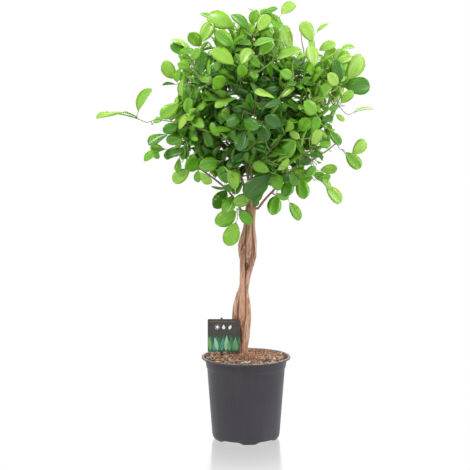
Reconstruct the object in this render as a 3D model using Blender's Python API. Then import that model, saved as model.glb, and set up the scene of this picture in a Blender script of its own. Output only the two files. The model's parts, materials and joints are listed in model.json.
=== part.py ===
"""A potted ficus: a crown of leafy sprays on a braided trunk, in a nursery pot.

The plant stands on the floor.  +Z is up, its front faces -Y, and the origin is on
the underside of the pot, at its middle.  Lengths are in metres.
"""

import math
import random

import bmesh
import bpy
from mathutils import Matrix, Vector
from mathutils.bvhtree import BVHTree

MM = 0.001
UP = Vector((0.0, 0.0, 1.0))
GAP = 0.3 * MM  # clearance between pieces that touch

# Pot: a thin moulded nursery pot, 210 mm across its rim.
POT_HEIGHT = 198 * MM
POT_RIM_R = 105 * MM
POT_WALL = 1.8 * MM
POT_LIP = 5 * MM  # height of the rolled lip
POT_COLLAR_R = (93.5 * MM, 97 * MM)  # outside of the collar, at its foot and its top
POT_COLLAR_Z = 172 * MM
POT_BODY_R = (80.5 * MM, 92 * MM)  # outside of the body, at its foot and its top
POT_BODY_Z = (16 * MM, 170 * MM)
POT_FLOOR_Z = 6.5 * MM
POT_SIDES = 60
FEET = 5
FOOT_FROM = 44  # the step round the pot at which a foot starts
FOOT_STEPS = 5  # how many steps a foot takes; a drain notch takes the rest
NOTCH_Z = 5 * MM  # height of the drain notches between the feet
HOLES = 10
HOLE_R = (42 * MM, 50 * MM)  # inner and outer edge of the drain holes

# Soil: bark mix, a little mounded round the trunk.
SOIL_EDGE_Z = POT_HEIGHT - 5 * MM
SOIL_MOUND = 9 * MM
SOIL_ROUGHNESS = 1.2 * MM
SOCKET_TOP_Z = 260 * MM  # the stems' sockets are cut up to here, clear of the mound

# Trunk: four stems braided into a cage with a waist.  Each route gives the middle of
# the stem, (x, y) in millimetres, at each of the heights.
STEM_Z = (158, 182, 207, 227, 248, 277, 296, 331, 357, 391, 419, 448, 476, 507, 532, 556)
STEM_ROUTES = {
    "stem_a": ((-13, 23), (-12, 19), (-12, 16), (-13, 17), (-14, 18), (-15, 20), (-15, 20),
               (-11, 17), (-5, 13), (0, 14), (4, 2), (6, -11), (8, -16), (7, -11), (9, -10),
               (11, -9)),
    "stem_b": ((-20, -4), (-14, -3), (-10, -3), (-17, -1), (-20, 0), (-25, 2), (-26, 3), (-21, 6),
               (-10, 6), (-4, 4), (-6, 7), (-12, 3), (-8, -6), (1, -1), (3, 0), (5, 1)),
    "stem_c": ((2, -22), (0, -16), (-2, -12), (-2, -12), (2, -12), (4, -11), (5, -7), (3, -2),
               (-2, -1), (5, -5), (13, -4), (18, -3), (18, -1), (13, 0), (15, 0), (18, 1)),
    "stem_d": ((8, 9), (3, 7), (-1, 6), (-6, 4), (-6, 3), (-8, -3), (-9, -10), (-9, -11),
               (-9, -8), (-8, -6), (-9, -6), (-5, -7), (1, 6), (7, 10), (10, 10), (12, 11)),
}
STEM_RADII = {158: 6.0, 207: 5.9, 248: 6.3, 296: 6.5, 331: 6.2, 357: 4.9, 391: 5.3, 448: 5.9,
              476: 6.2, 507: 5.6, 556: 5.4}
STEM_SIDES = 8
STEM_RINGS = 26
KNOTS = 0.03  # how far bark swells and shrinks, as a share of the radius

# Branches: what each grows from, its thickness at both ends in millimetres, and the
# places that it passes, in metres.
BRANCHES = {
    "branch_left": ("stem_b", (4.6, 2.4), (
        (0.000, 0.000, 0.580), (-0.021, -0.010, 0.648), (-0.056, -0.025, 0.695),
        (-0.104, -0.035, 0.732), (-0.152, -0.030, 0.748))),
    "branch_upper_left": ("stem_a", (4.8, 2.2), (
        (0.012, -0.012, 0.580), (0.002, -0.018, 0.640), (-0.010, -0.026, 0.700),
        (-0.030, -0.030, 0.778), (-0.056, -0.030, 0.850), (-0.078, -0.026, 0.905))),
    "branch_top": ("stem_d", (4.6, 2.2), (
        (0.012, 0.014, 0.582), (0.014, 0.028, 0.640), (0.026, 0.038, 0.729),
        (0.032, 0.030, 0.823), (0.038, 0.020, 0.890), (0.046, 0.012, 0.935))),
    "branch_upper_right": ("stem_c", (4.6, 2.2), (
        (0.026, 0.002, 0.582), (0.040, -0.004, 0.615), (0.062, -0.020, 0.675),
        (0.084, -0.028, 0.755), (0.106, -0.028, 0.824), (0.132, -0.022, 0.880))),
    "branch_right": ("branch_upper_right", (3.6, 2.2), (
        (0.056, -0.012, 0.652), (0.090, -0.002, 0.694), (0.136, -0.008, 0.737),
        (0.176, -0.010, 0.766), (0.206, -0.010, 0.794))),
    "branch_lower_right": ("stem_c", (3.8, 2.0), (
        (0.026, -0.002, 0.540), (0.040, -0.012, 0.566), (0.066, -0.034, 0.596),
        (0.104, -0.044, 0.632), (0.146, -0.040, 0.660), (0.180, -0.024, 0.680))),
    "branch_front": ("stem_a", (3.8, 2.0), (
        (0.012, -0.018, 0.538), (0.012, -0.040, 0.562), (0.010, -0.080, 0.610),
        (0.012, -0.116, 0.674), (0.020, -0.142, 0.742), (0.032, -0.158, 0.806))),
    "branch_lower_left": ("stem_b", (3.6, 2.0), (
        (-0.006, -0.003, 0.536), (-0.020, -0.018, 0.560), (-0.044, -0.042, 0.596),
        (-0.080, -0.056, 0.626), (-0.112, -0.050, 0.648))),
    "branch_back": ("stem_d", (3.8, 2.0), (
        (0.014, 0.020, 0.534), (0.020, 0.042, 0.562), (0.030, 0.080, 0.620),
        (0.040, 0.112, 0.690), (0.048, 0.136, 0.762), (0.052, 0.148, 0.826))),
    "branch_back_left": ("branch_left", (3.0, 1.8), (
        (-0.022, -0.004, 0.654), (-0.036, 0.026, 0.684), (-0.060, 0.064, 0.730),
        (-0.082, 0.092, 0.786), (-0.094, 0.104, 0.836))),
    "branch_back_right": ("branch_upper_right", (3.0, 1.8), (
        (0.048, -0.002, 0.634), (0.062, 0.030, 0.668), (0.092, 0.066, 0.716),
        (0.120, 0.092, 0.768), (0.142, 0.104, 0.820))),
}
BRANCH_SIDES = 6

# Sprays: leafy twigs.  Each is named for its place in the crown, and given by the
# point that its outermost leaf reaches.
SPRAY_TIPS = {
    "far_left": (-0.345, -0.020, 0.771),
    "left_upper": (-0.205, 0.020, 0.880),
    "left": (-0.218, -0.040, 0.800),
    "left_low": (-0.243, -0.030, 0.668),
    "left_bottom": (-0.166, -0.030, 0.616),
    "upper_left": (-0.163, 0.000, 0.940),
    "top_left": (-0.100, -0.020, 1.000),
    "top_middle": (0.006, -0.030, 1.000),
    "top": (0.050, 0.020, 1.006),
    "top_right": (0.101, 0.010, 1.016),
    "upper_right": (0.140, 0.000, 0.982),
    "right_upper": (0.229, 0.010, 0.925),
    "right": (0.266, -0.020, 0.888),
    "right_middle": (0.288, -0.020, 0.836),
    "right_low": (0.290, 0.030, 0.776),
    "right_lower": (0.282, 0.000, 0.696),
    "right_bottom": (0.210, 0.000, 0.566),
    "bottom_right": (0.130, -0.080, 0.580),
    "bottom_middle": (0.104, -0.020, 0.524),
    "bottom": (-0.036, -0.050, 0.468),
    "bottom_left": (-0.076, -0.070, 0.556),
    "front_upper_left": (-0.070, -0.140, 0.905),
    "front_top": (-0.006, -0.160, 0.916),
    "front_upper_right": (0.100, -0.140, 0.905),
    "front_middle": (0.045, -0.238, 0.817),
    "front_middle_left": (-0.036, -0.232, 0.764),
    "front_middle_right": (0.110, -0.214, 0.716),
    "front_right": (0.176, -0.150, 0.790),
    "front_low": (-0.004, -0.186, 0.622),
    "front_left": (-0.110, -0.180, 0.770),
    "back_upper_left": (-0.094, 0.140, 0.930),
    "back_top": (0.060, 0.130, 0.970),
    "back_upper_right": (0.180, 0.140, 0.915),
    "back_left": (-0.172, 0.130, 0.800),
    "back_right": (0.252, 0.130, 0.806),
    "back_middle": (0.040, 0.240, 0.840),
    "back_low_left": (-0.104, 0.150, 0.668),
    "back_low_right": (0.166, 0.150, 0.672),
    "back_low": (0.034, 0.172, 0.622),
}
CROWN_MIDDLE = Vector((0.035, 0.0, 0.780))
TWIG_R = (2.1 * MM, 1.3 * MM)  # at its seat and at its end
TWIG_REACH = 36 * MM  # how far the end leaf reaches past the twig
TWIG_IDEAL = 115 * MM  # length of a twig that has room to choose its seat
LEAF_SPACING = 19 * MM
LEAF_LENGTH = (44 * MM, 58 * MM)
LEAF_WIDTH = 0.58  # as a share of the length
LEAF_THICK = 1.0 * MM
PETIOLE = 8 * MM
CLEAR = 1.2 * MM  # room kept round each leaf while it is placed

# Plant label: a card on a stake, at the left of the trunk.
CARD_SIZE = (75 * MM, 78 * MM, 0.8 * MM)
CARD_MIDDLE = Vector((-0.0528, -0.0120, 0.2490))
CARD_CORNER_R = 3 * MM
STAKE_X = -0.0575
STAKE_SIZE = (5 * MM, 1.6 * MM)
STAKE_Z = (0.150, 0.2915)
STAKE_POINT = 14 * MM


def material(name, colour, roughness):
    """A matt material in one colour."""
    new = bpy.data.materials.new(name)
    new.use_nodes = True
    shader = new.node_tree.nodes["Principled BSDF"]
    shader.inputs["Base Color"].default_value = (*colour, 1.0)
    shader.inputs["Roughness"].default_value = roughness
    new.diffuse_color = (*colour, 1.0)
    return new


def finish(bm, name, finish_material):
    """Turn a bmesh into a named object of the scene."""
    mesh = bpy.data.meshes.new(name)
    bm.to_mesh(mesh)
    bm.free()
    mesh.materials.append(finish_material)
    mesh.shade_smooth()
    mesh.set_sharp_from_angle(angle=math.radians(35))
    piece = bpy.data.objects.new(name, mesh)
    bpy.context.scene.collection.objects.link(piece)
    return piece


def circle(bm, radius, heights):
    """A ring of vertices round the Z axis, one for each of the heights."""
    ring = []
    for step, z in enumerate(heights):
        turn = 2 * math.pi * step / len(heights)
        ring.append(bm.verts.new((radius * math.cos(turn), radius * math.sin(turn), z)))
    return ring


def bridge(bm, first, second, skip=()):
    """Join two rings of vertices with quads, apart from the skipped ones."""
    count = len(first)
    for step in range(count):
        if step not in skip:
            after = (step + 1) % count
            bm.faces.new((first[step], first[after], second[after], second[step]))


def cut(piece, cutter):
    """Cut a piece with a hidden cutter."""
    cutter.hide_render = True
    cutter.display_type = "WIRE"
    modifier = piece.modifiers.new("cut " + cutter.name, "BOOLEAN")
    modifier.object = cutter
    modifier.operation = "DIFFERENCE"
    modifier.solver = "EXACT"


# ---------------------------------------------------------------------------- pot


def wall_radius(z):
    """Outside radius of the pot's wall at a height."""
    foot, body_top = POT_BODY_Z
    if z <= body_top:
        share = (z - foot) / (body_top - foot)
        return POT_BODY_R[0] + share * (POT_BODY_R[1] - POT_BODY_R[0])
    if z < POT_COLLAR_Z:
        share = (z - body_top) / (POT_COLLAR_Z - body_top)
        return POT_BODY_R[1] + share * (POT_COLLAR_R[0] - POT_BODY_R[1])
    share = (z - POT_COLLAR_Z) / (POT_HEIGHT - POT_LIP - POT_COLLAR_Z)
    return POT_COLLAR_R[0] + share * (POT_COLLAR_R[1] - POT_COLLAR_R[0])


def notch_heights(z, rise):
    """Heights round a foot ring: flat feet with drain notches between them."""
    in_notch = [(step - FOOT_FROM) % (POT_SIDES // FEET) >= FOOT_STEPS for step in range(POT_SIDES)]
    return [z + (rise if notch else 0.0) for notch in in_notch]


def build_pot(plastic):
    """The pot as one wall: underside, outside, lip, inside and floor, in that order."""
    bm = bmesh.new()
    foot, body_top = POT_BODY_Z
    lip_z = POT_HEIGHT - POT_LIP
    channel_z = NOTCH_Z - 0.5 * MM
    underside = [
        (25 * MM, 0.0, 0.0),
        (28 * MM, channel_z, 0.0),
        (HOLE_R[0], channel_z, 0.0),
        (HOLE_R[1], channel_z, 0.0),
        (58 * MM, channel_z, 0.0),
        (60 * MM, 0.0, channel_z),
        (70 * MM, 0.0, NOTCH_Z),
        (76 * MM, 2.5 * MM, 3.5 * MM),
        (79.4 * MM, 8 * MM, 1 * MM),
    ]
    outside = [
        (wall_radius(foot), foot, 0.0),
        (wall_radius(0.5 * (foot + body_top)), 0.5 * (foot + body_top), 0.0),
        (wall_radius(body_top), body_top, 0.0),
        (wall_radius(POT_COLLAR_Z), POT_COLLAR_Z, 0.0),
        (wall_radius(lip_z), lip_z - 0.5 * MM, 0.0),
        (POT_RIM_R - 1.2 * MM, lip_z, 0.0),
        (POT_RIM_R, lip_z + 1.2 * MM, 0.0),
        (POT_RIM_R, POT_HEIGHT - 1.2 * MM, 0.0),
        (POT_RIM_R - 1.2 * MM, POT_HEIGHT, 0.0),
    ]
    inside = [
        (POT_COLLAR_R[1] + 0.6 * MM, POT_HEIGHT, 0.0),
        (POT_COLLAR_R[1] - POT_WALL, lip_z + 1 * MM, 0.0),
        (wall_radius(POT_COLLAR_Z) - POT_WALL, POT_COLLAR_Z, 0.0),
        (wall_radius(body_top) - POT_WALL, body_top, 0.0),
        (wall_radius(foot) - POT_WALL, foot, 0.0),
        (76 * MM, POT_FLOOR_Z + 3 * MM, 0.0),
        (70 * MM, POT_FLOOR_Z, 0.0),
        (HOLE_R[1], POT_FLOOR_Z, 0.0),
        (HOLE_R[0], POT_FLOOR_Z, 0.0),
    ]
    rings = [circle(bm, r, notch_heights(z, rise)) for r, z, rise in underside + outside + inside]
    holes = range(4, POT_SIDES, POT_SIDES // HOLES)
    low_hole, high_hole = 2, len(rings) - 2
    for number, (first, second) in enumerate(zip(rings, rings[1:])):
        bridge(bm, first, second, holes if number in (low_hole, high_hole) else ())
    for step in holes:
        below = (rings[low_hole][step], rings[low_hole][step + 1],
                 rings[low_hole + 1][step + 1], rings[low_hole + 1][step])
        above = (rings[high_hole + 1][step], rings[high_hole + 1][step + 1],
                 rings[high_hole][step + 1], rings[high_hole][step])
        bridge(bm, above, below)
    bm.faces.new(reversed(rings[0]))
    bm.faces.new(rings[-1])
    bmesh.ops.recalc_face_normals(bm, faces=bm.faces)
    return finish(bm, "pot", plastic)


# --------------------------------------------------------------------------- soil


def build_soil(bark_mix):
    """The filling of the pot: its side follows the wall, and its top is mounded."""
    bm = bmesh.new()
    rng = random.Random(4)
    foot, body_top = POT_BODY_Z
    inset = POT_WALL + GAP
    side = [
        (69.8 * MM, POT_FLOOR_Z + GAP),
        (75.6 * MM, POT_FLOOR_Z + 3 * MM + GAP),
        (wall_radius(foot) - inset, foot + GAP),
        (wall_radius(body_top) - inset, body_top),
        (wall_radius(POT_COLLAR_Z) - inset, POT_COLLAR_Z),
        (wall_radius(SOIL_EDGE_Z) - inset, SOIL_EDGE_Z),
    ]
    rings = [circle(bm, r, [z] * POT_SIDES) for r, z in side]
    edge_r = side[-1][0]
    for share in (0.86, 0.66, 0.46, 0.28):
        z = SOIL_EDGE_Z + SOIL_MOUND * (1 - share * share)
        heights = [z + rng.uniform(-1, 1) * SOIL_ROUGHNESS for _ in range(POT_SIDES)]
        rings.append(circle(bm, share * edge_r, heights))
    for first, second in zip(rings, rings[1:]):
        bridge(bm, first, second)
    bm.faces.new(reversed(rings[0]))
    top = bm.verts.new((0.0, 0.0, SOIL_EDGE_Z + SOIL_MOUND))
    for step in range(POT_SIDES):
        bm.faces.new((rings[-1][step], rings[-1][(step + 1) % POT_SIDES], top))
    return finish(bm, "soil", bark_mix)


# ------------------------------------------------------------------ stems, branches


def smooth(points, share):
    """The point at a share of the way along a smooth line through the points."""
    place = share * (len(points) - 1)
    step = min(int(place), len(points) - 2)
    t = place - step
    before = points[max(step - 1, 0)]
    start, end = points[step], points[step + 1]
    after = points[min(step + 2, len(points) - 1)]
    fastest = 2 * (end - start).length
    pull = (end - before) * 0.5
    push = (after - start) * 0.5
    pull *= min(1.0, fastest / pull.length)
    push *= min(1.0, fastest / push.length)
    return (start * (2 * t**3 - 3 * t**2 + 1) + pull * (t**3 - 2 * t**2 + t)
            + end * (3 * t**2 - 2 * t**3) + push * (t**3 - t**2))


def frames(points):
    """For each point of a line: its direction, and a side vector that never twists."""
    side = None
    result = []
    for step, point in enumerate(points):
        ahead = points[min(step + 1, len(points) - 1)]
        behind = points[max(step - 1, 0)]
        forward = (ahead - behind).normalized()
        if side is None:
            side = forward.orthogonal()
        side = (side - forward * side.dot(forward)).normalized()
        result.append((point, forward, side))
    return result


def tube_rings(points, radii, sides):
    """Rings of points round a line, each square to it."""
    rings = []
    for (middle, forward, side), radius in zip(frames(points), radii):
        other = forward.cross(side)
        turns = [2 * math.pi * step / sides for step in range(sides)]
        rings.append([middle + radius * (math.cos(a) * side + math.sin(a) * other) for a in turns])
    return rings


def skin(bm, rings):
    """Close a run of rings into a tube, and give back its side faces ring by ring."""
    loops = [[bm.verts.new(point) for point in ring] for ring in rings]
    walls = []
    for low, high in zip(loops, loops[1:]):
        count = len(low)
        walls.append([
            bm.faces.new((low[k], low[(k + 1) % count], high[(k + 1) % count], high[k]))
            for k in range(count)
        ])
    bm.faces.new(reversed(loops[0]))
    bm.faces.new(loops[-1])
    return walls


def seats_on(bm):
    """The middle and the normal of each face, where something else may grow."""
    bm.normal_update()
    return [(face.calc_center_median(), face.normal.copy()) for face in bm.faces]


def solid_tree(bm):
    """A search tree of a bmesh, with a ball round it for quick tests."""
    points = [vert.co.copy() for vert in bm.verts]
    middle = sum(points, Vector()) / len(points)
    reach = max((point - middle).length for point in points)
    return BVHTree.FromBMesh(bm), middle, reach


def tree_of(points, polygons):
    """The same kind of tree for loose points and polygons."""
    middle = sum(points, Vector()) / len(points)
    reach = max((point - middle).length for point in points)
    return BVHTree.FromPolygons(points, polygons), middle, reach


def touches(tree, others):
    """Whether a tree cuts any of the others."""
    shape, middle, reach = tree
    for other, other_middle, other_reach in others:
        if (middle - other_middle).length < reach + other_reach and shape.overlap(other):
            return True
    return False


def stem_radius(z):
    """Thickness of a stem at a height: stout at the foot, slim at the waist."""
    heights = sorted(STEM_RADII)
    for low, high in zip(heights, heights[1:]):
        if z <= high * MM:
            share = max(z - low * MM, 0.0) / ((high - low) * MM)
            return (STEM_RADII[low] + share * (STEM_RADII[high] - STEM_RADII[low])) * MM
    return STEM_RADII[heights[-1]] * MM


def press_apart(places, radius, room):
    """Push stems that press on each other apart, at one height."""
    for _ in range(60):
        for first in range(len(places)):
            for second in range(first + 1, len(places)):
                away = places[second] - places[first]
                short = 2 * radius + room - away.length
                if short > 0:
                    shift = away.normalized() * (0.5 * short)
                    places[first] -= shift
                    places[second] += shift
    return places


def stem_lines():
    """The middle lines of the four stems, ring by ring, pressed clear of each other."""
    routes = {
        name: [Vector((x * MM, y * MM, z * MM)) for (x, y), z in zip(route, STEM_Z)]
        for name, route in STEM_ROUTES.items()
    }
    lines = {name: [] for name in routes}
    for ring in range(STEM_RINGS):
        points = [smooth(route, ring / (STEM_RINGS - 1)) for route in routes.values()]
        z = points[0].z
        places = [Vector((point.x, point.y)) for point in points]
        radius = stem_radius(z)
        press_apart(places, radius * (1 + KNOTS), 1.6 * MM)
        for name, place in zip(lines, places):
            lines[name].append(Vector((place.x, place.y, z)))
    return lines


def build_stems(bark):
    """The four stems, and for each a socket cutter for the soil."""
    stems, seats, cutters = [], {}, []
    rng = random.Random(9)
    for name, line in stem_lines().items():
        radii = [stem_radius(p.z) * (1 + KNOTS * rng.uniform(-1, 1)) for p in line]
        bm = bmesh.new()
        skin(bm, tube_rings(line, radii, STEM_SIDES))
        seats[name] = seats_on(bm)
        tree = solid_tree(bm)
        stems.append((finish(bm, name, bark), tree))
        buried = sum(p.z < SOCKET_TOP_Z for p in line)
        bm = bmesh.new()
        wide = [r + 1.15 * GAP for r in radii[:buried]]
        skin(bm, tube_rings(line[:buried], wide, STEM_SIDES))
        for vert in bm.verts:
            if vert.co.z < line[0].z + 2 * MM:
                vert.co.z -= GAP
        cutters.append(finish(bm, name + "_socket", bark))
    return stems, seats, cutters


def find_seat(seats, near, toward):
    """The face that is close to a place and looks toward the next one."""
    def cost(seat):
        middle, normal = seat
        heading = (toward - middle).normalized()
        return (middle - near).length + 0.030 * (1 - normal.dot(heading))
    best = min(seats, key=cost)
    seats.remove(best)
    return best


def build_branches(bark, stem_seats):
    """The branches, each seated on a stem or on a stouter branch."""
    branches = []
    seats = dict(stem_seats)
    for name, (parent, (base_r, end_r), route) in BRANCHES.items():
        places = [Vector(place) for place in route]
        middle, normal = find_seat(seats[parent], places[0], places[1])
        start = middle + normal * GAP
        line = [start, start + normal * (1.6 * base_r * MM)] + places[1:]
        count = 2 * len(line) - 1
        points = [smooth(line, step / (count - 1)) for step in range(count)]
        radii = [(base_r + (end_r - base_r) * step / (count - 1)) * MM for step in range(count)]
        rings = tube_rings(points, radii, BRANCH_SIDES)
        first = (rings[0][0] - start) - normal * (rings[0][0] - start).dot(normal)
        rings[0] = [start + Matrix.Rotation(2 * math.pi * k / BRANCH_SIDES, 3, normal)
                    @ first.normalized() * radii[0] for k in range(BRANCH_SIDES)]
        bm = bmesh.new()
        skin(bm, rings)
        seats[name] = seats_on(bm)
        tree = solid_tree(bm)
        branches.append((finish(bm, name, bark), tree))
    return branches, {name: seats[name] for name in BRANCHES}


# ------------------------------------------------------------------------- sprays


def twig_line(start, normal, end, bend):
    """Points of a twig: straight out of its seat, then curving to its end."""
    length = (end - start).length
    leave = start + normal * (0.30 * length)
    arrive = end - ((end - start).normalized() + 0.35 * UP).normalized() * (0.35 * length) + bend
    points = []
    for step in range(33):
        t = step / 32
        points.append(start * (1 - t) ** 3 + leave * (3 * t * (1 - t) ** 2)
                      + arrive * (3 * t * t * (1 - t)) + end * t**3)
    return points


def at_length(points, wanted):
    """The point at a distance along a line of points."""
    for first, second in zip(points, points[1:]):
        step = (second - first).length
        if wanted <= step:
            return first.lerp(second, wanted / step)
        wanted -= step
    return points[-1]


def choose_seat(seats, tip):
    """The branch face from which a twig of a good length reaches its tip."""
    def cost(item):
        middle, normal = item[1]
        reach = tip - middle
        off = abs(reach.length - TWIG_IDEAL - TWIG_REACH)
        return off + 0.060 * (1 - normal.dot(reach.normalized()))
    choices = [(name, seat) for name, faces in seats.items() for seat in faces]
    return sorted(choices, key=cost)[:12]


def twig_rings(points, length, leaves):
    """Rings of a three-sided twig, with a short pair for each leaf to grow from."""
    stations = [0.0, 4 * MM]
    first = max(16 * MM, length - LEAF_SPACING * (leaves - 0.5))
    for leaf in range(leaves):
        place = first + (length - 5 * MM - first) * leaf / max(leaves - 1, 1)
        stations += [place - 1.3 * MM, place + 1.3 * MM]
    stations.append(length)
    line = [at_length(points, station) for station in stations]
    radii = [TWIG_R[0] + (TWIG_R[1] - TWIG_R[0]) * station / length for station in stations]
    return tube_rings(line, radii, 3)


def blade_rings(root, forward, normal, length, extra=0.0):
    """Cross-sections of a leaf blade, as left, top, right and bottom, and its tip."""
    side = normal.cross(forward)
    half = 0.5 * LEAF_WIDTH * length
    rings = []
    stations = ((0.0, 1.0 * MM, 0.9), (0.30, 0.72 * half, 1.0), (0.66, half, 0.8))
    for share, width, thick in stations:
        droop = 0.10 * length * share * share
        middle = root + forward * (share * length) - normal * droop
        rise = normal * (0.14 * width if share else 0.0)
        thickness = normal * (0.5 * LEAF_THICK * thick + extra)
        width += extra
        rings.append([middle + side * width + rise, middle + thickness,
                      middle - side * width + rise, middle - thickness])
    tip = root + forward * (length + extra) - normal * (0.10 * length)
    return rings, tip


def leaf_tree(face_points, rings, tip):
    """A search tree of a leaf that isn't built yet."""
    points = [point for ring in rings for point in ring] + [tip]
    polygons = []
    for low in range(0, 4 * (len(rings) - 1), 4):
        for k in range(4):
            after = (k + 1) % 4
            polygons.append((low + k, low + after, low + 4 + after, low + 4 + k))
    last = 4 * (len(rings) - 1)
    polygons += [(last + k, last + (k + 1) % 4, len(points) - 1) for k in range(4)]
    blade = tree_of(points, polygons)
    stalk_points = list(face_points) + rings[0]
    stalk = tree_of(stalk_points, [(k, (k + 1) % 4, 4 + (k + 1) % 4, 4 + k) for k in range(4)])
    return blade, stalk


def grow_leaf(bm, face, rings, tip):
    """Grow a leaf out of a side face of a twig."""
    base = list(face.verts)
    bm.faces.remove(face)
    ring = [bm.verts.new(point) for point in rings[0]]
    turn = min(range(4), key=lambda s: sum(
        (base[k].co - ring[(k + s) % 4].co).length for k in range(4)))
    ring = [ring[(k + turn) % 4] for k in range(4)]
    bridge(bm, base, ring)
    ring = [ring[(k - turn) % 4] for k in range(4)]
    for points in rings[1:]:
        after = [bm.verts.new(point) for point in points]
        for k in range(4):
            a, b = ring[k], ring[(k + 1) % 4]
            c, d = after[(k + 1) % 4], after[k]
            if k % 2 == 0:
                bm.faces.new((a, b, c))
                bm.faces.new((a, c, d))
            else:
                bm.faces.new((a, b, d))
                bm.faces.new((b, c, d))
        ring = after
    end = bm.verts.new(tip)
    for k in range(4):
        bm.faces.new((ring[k], ring[(k + 1) % 4], end))


def leaf_choices(face, along, last, rng):
    """Ways in which a leaf may leave a twig face, the best first."""
    middle = face.calc_center_median()
    out = face.normal
    outward = (middle - CROWN_MIDDLE).normalized()
    lean = 0.35 if last else rng.uniform(0.55, 1.0)
    size = rng.uniform(*LEAF_LENGTH)
    for shrink in (1.0, 0.86, 0.72, 0.6):
        for turn in (0, 24, -24, 48, -48):
            for roll in (0, 30, -30):
                heading = along * (1 - 0.4 * lean) + out * lean + outward * 0.15
                heading = Matrix.Rotation(math.radians(turn), 3, along) @ heading.normalized()
                face_up = UP * 0.50 + outward * 0.75 + out * 0.1
                normal = face_up - heading * face_up.dot(heading)
                if normal.length < 0.1:
                    normal = heading.orthogonal()
                normal = Matrix.Rotation(math.radians(roll), 3, heading) @ normal.normalized()
                root = middle + (out * 0.6 + heading * 0.4).normalized() * PETIOLE
                yield root, heading, normal, size * shrink


def build_twig(seats, tip, solids):
    """One bare twig that ends near a tip: its seat and its line, clear of all the rest."""
    line = None
    for parent, (middle, normal) in choose_seat(seats, tip):
        start = middle + normal * GAP
        end = tip - (tip - start).normalized() * TWIG_REACH
        for bend in (Vector(), UP * 0.02, -UP * 0.02, Vector((0.02, 0, 0)), Vector((-0.02, 0, 0)),
                     Vector((0, 0.02, 0)), Vector((0, -0.02, 0))):
            points = twig_line(start, normal, end, bend)
            length = sum((b - a).length for a, b in zip(points, points[1:]))
            leaves = max(4, min(8, round(length / LEAF_SPACING)))
            bm = bmesh.new()
            rings = twig_rings(points, length, leaves)
            walls = skin(bm, rings)
            tree = solid_tree(bm)
            if not touches(tree, solids):
                line = (parent, (middle, normal), points, length, leaves, bm, walls, tree)
                break
            bm.free()
        if line:
            break
    return line


def build_sprays(greens, branch_seats, solids):
    """All the sprays: the twigs first, so that every leaf can keep clear of them."""
    twigs = []
    for name, tip in SPRAY_TIPS.items():
        twig = build_twig(branch_seats, Vector(tip), solids)
        if twig is None:
            raise ValueError("no room for spray " + name)
        branch_seats[twig[0]].remove(twig[1])
        solids.append(twig[-1])
        twigs.append((name, twig))
    rng = random.Random(12)
    for name, (_, _, points, length, leaves, bm, walls, tree) in twigs:
        others = [solid for solid in solids if solid is not tree]
        bm.normal_update()
        for leaf in range(leaves):
            wall = walls[2 + 2 * leaf]
            last = leaf == leaves - 1
            along = (wall[0].verts[3].co - wall[0].verts[0].co).normalized()
            placed = None
            for spin in range(3):
                face = wall[(leaf + spin) % 3]
                corners = [vert.co.copy() for vert in face.verts]
                for root, heading, normal, size in leaf_choices(face, along, last, rng):
                    rings, tip = blade_rings(root, heading, normal, size, CLEAR)
                    blade, stalk = leaf_tree(corners, rings, tip)
                    if not (touches(blade, others) or touches(blade, [tree])
                            or touches(stalk, others)):
                        placed = (face, root, heading, normal, size, blade, stalk)
                        break
                if placed:
                    break
            if placed:
                face, root, heading, normal, size, blade, stalk = placed
                rings, tip = blade_rings(root, heading, normal, size)
                grow_leaf(bm, face, rings, tip)
                for solid in (blade, stalk):
                    solids.append(solid)
                    others.append(solid)
        green = greens[1] if name.startswith(("top", "upper", "right", "left")) else greens[0]
        finish(bm, "spray_" + name, green)


# -------------------------------------------------------------------------- label


def build_card(plastic):
    """The label card, standing upright, its corners rounded."""
    width, height, thickness = CARD_SIZE
    bm = bmesh.new()
    bmesh.ops.create_cube(bm, size=1.0)
    bmesh.ops.scale(bm, vec=(width, thickness, height), verts=bm.verts)
    corners = [edge for edge in bm.edges
               if abs(edge.verts[0].co.y - edge.verts[1].co.y) > 0.5 * thickness]
    bmesh.ops.bevel(bm, geom=corners, offset=CARD_CORNER_R, segments=3, affect="EDGES",
                    profile=0.5)
    bmesh.ops.translate(bm, vec=CARD_MIDDLE, verts=bm.verts)
    return finish(bm, "label_card", plastic)


def stake_shape(bm, grow):
    """The stake behind the card: a flat bar with a pointed foot."""
    half, depth = 0.5 * STAKE_SIZE[0] + grow, STAKE_SIZE[1] + 2 * grow
    low, high = STAKE_Z[0] - 2 * grow, STAKE_Z[1]
    front = CARD_MIDDLE.y + 0.5 * CARD_SIZE[2] + GAP - grow
    outline = [(-half, low + STAKE_POINT), (0.0, low), (half, low + STAKE_POINT),
               (half, high - 2 * MM), (half - 1.5 * MM, high), (-half + 1.5 * MM, high),
               (-half, high - 2 * MM)]
    face = bm.faces.new([bm.verts.new((STAKE_X + x, front, z)) for x, z in outline])
    back = bmesh.ops.extrude_face_region(bm, geom=[face])
    moved = [item for item in back["geom"] if isinstance(item, bmesh.types.BMVert)]
    bmesh.ops.translate(bm, vec=(0.0, depth, 0.0), verts=moved)
    bmesh.ops.recalc_face_normals(bm, faces=bm.faces)


def build_stake(plastic):
    """The stake, and the cutter for its slot in the soil."""
    bm = bmesh.new()
    stake_shape(bm, 0.0)
    stake = finish(bm, "label_stake", plastic)
    bm = bmesh.new()
    stake_shape(bm, GAP)
    return stake, finish(bm, "stake_slot", plastic)


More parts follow.
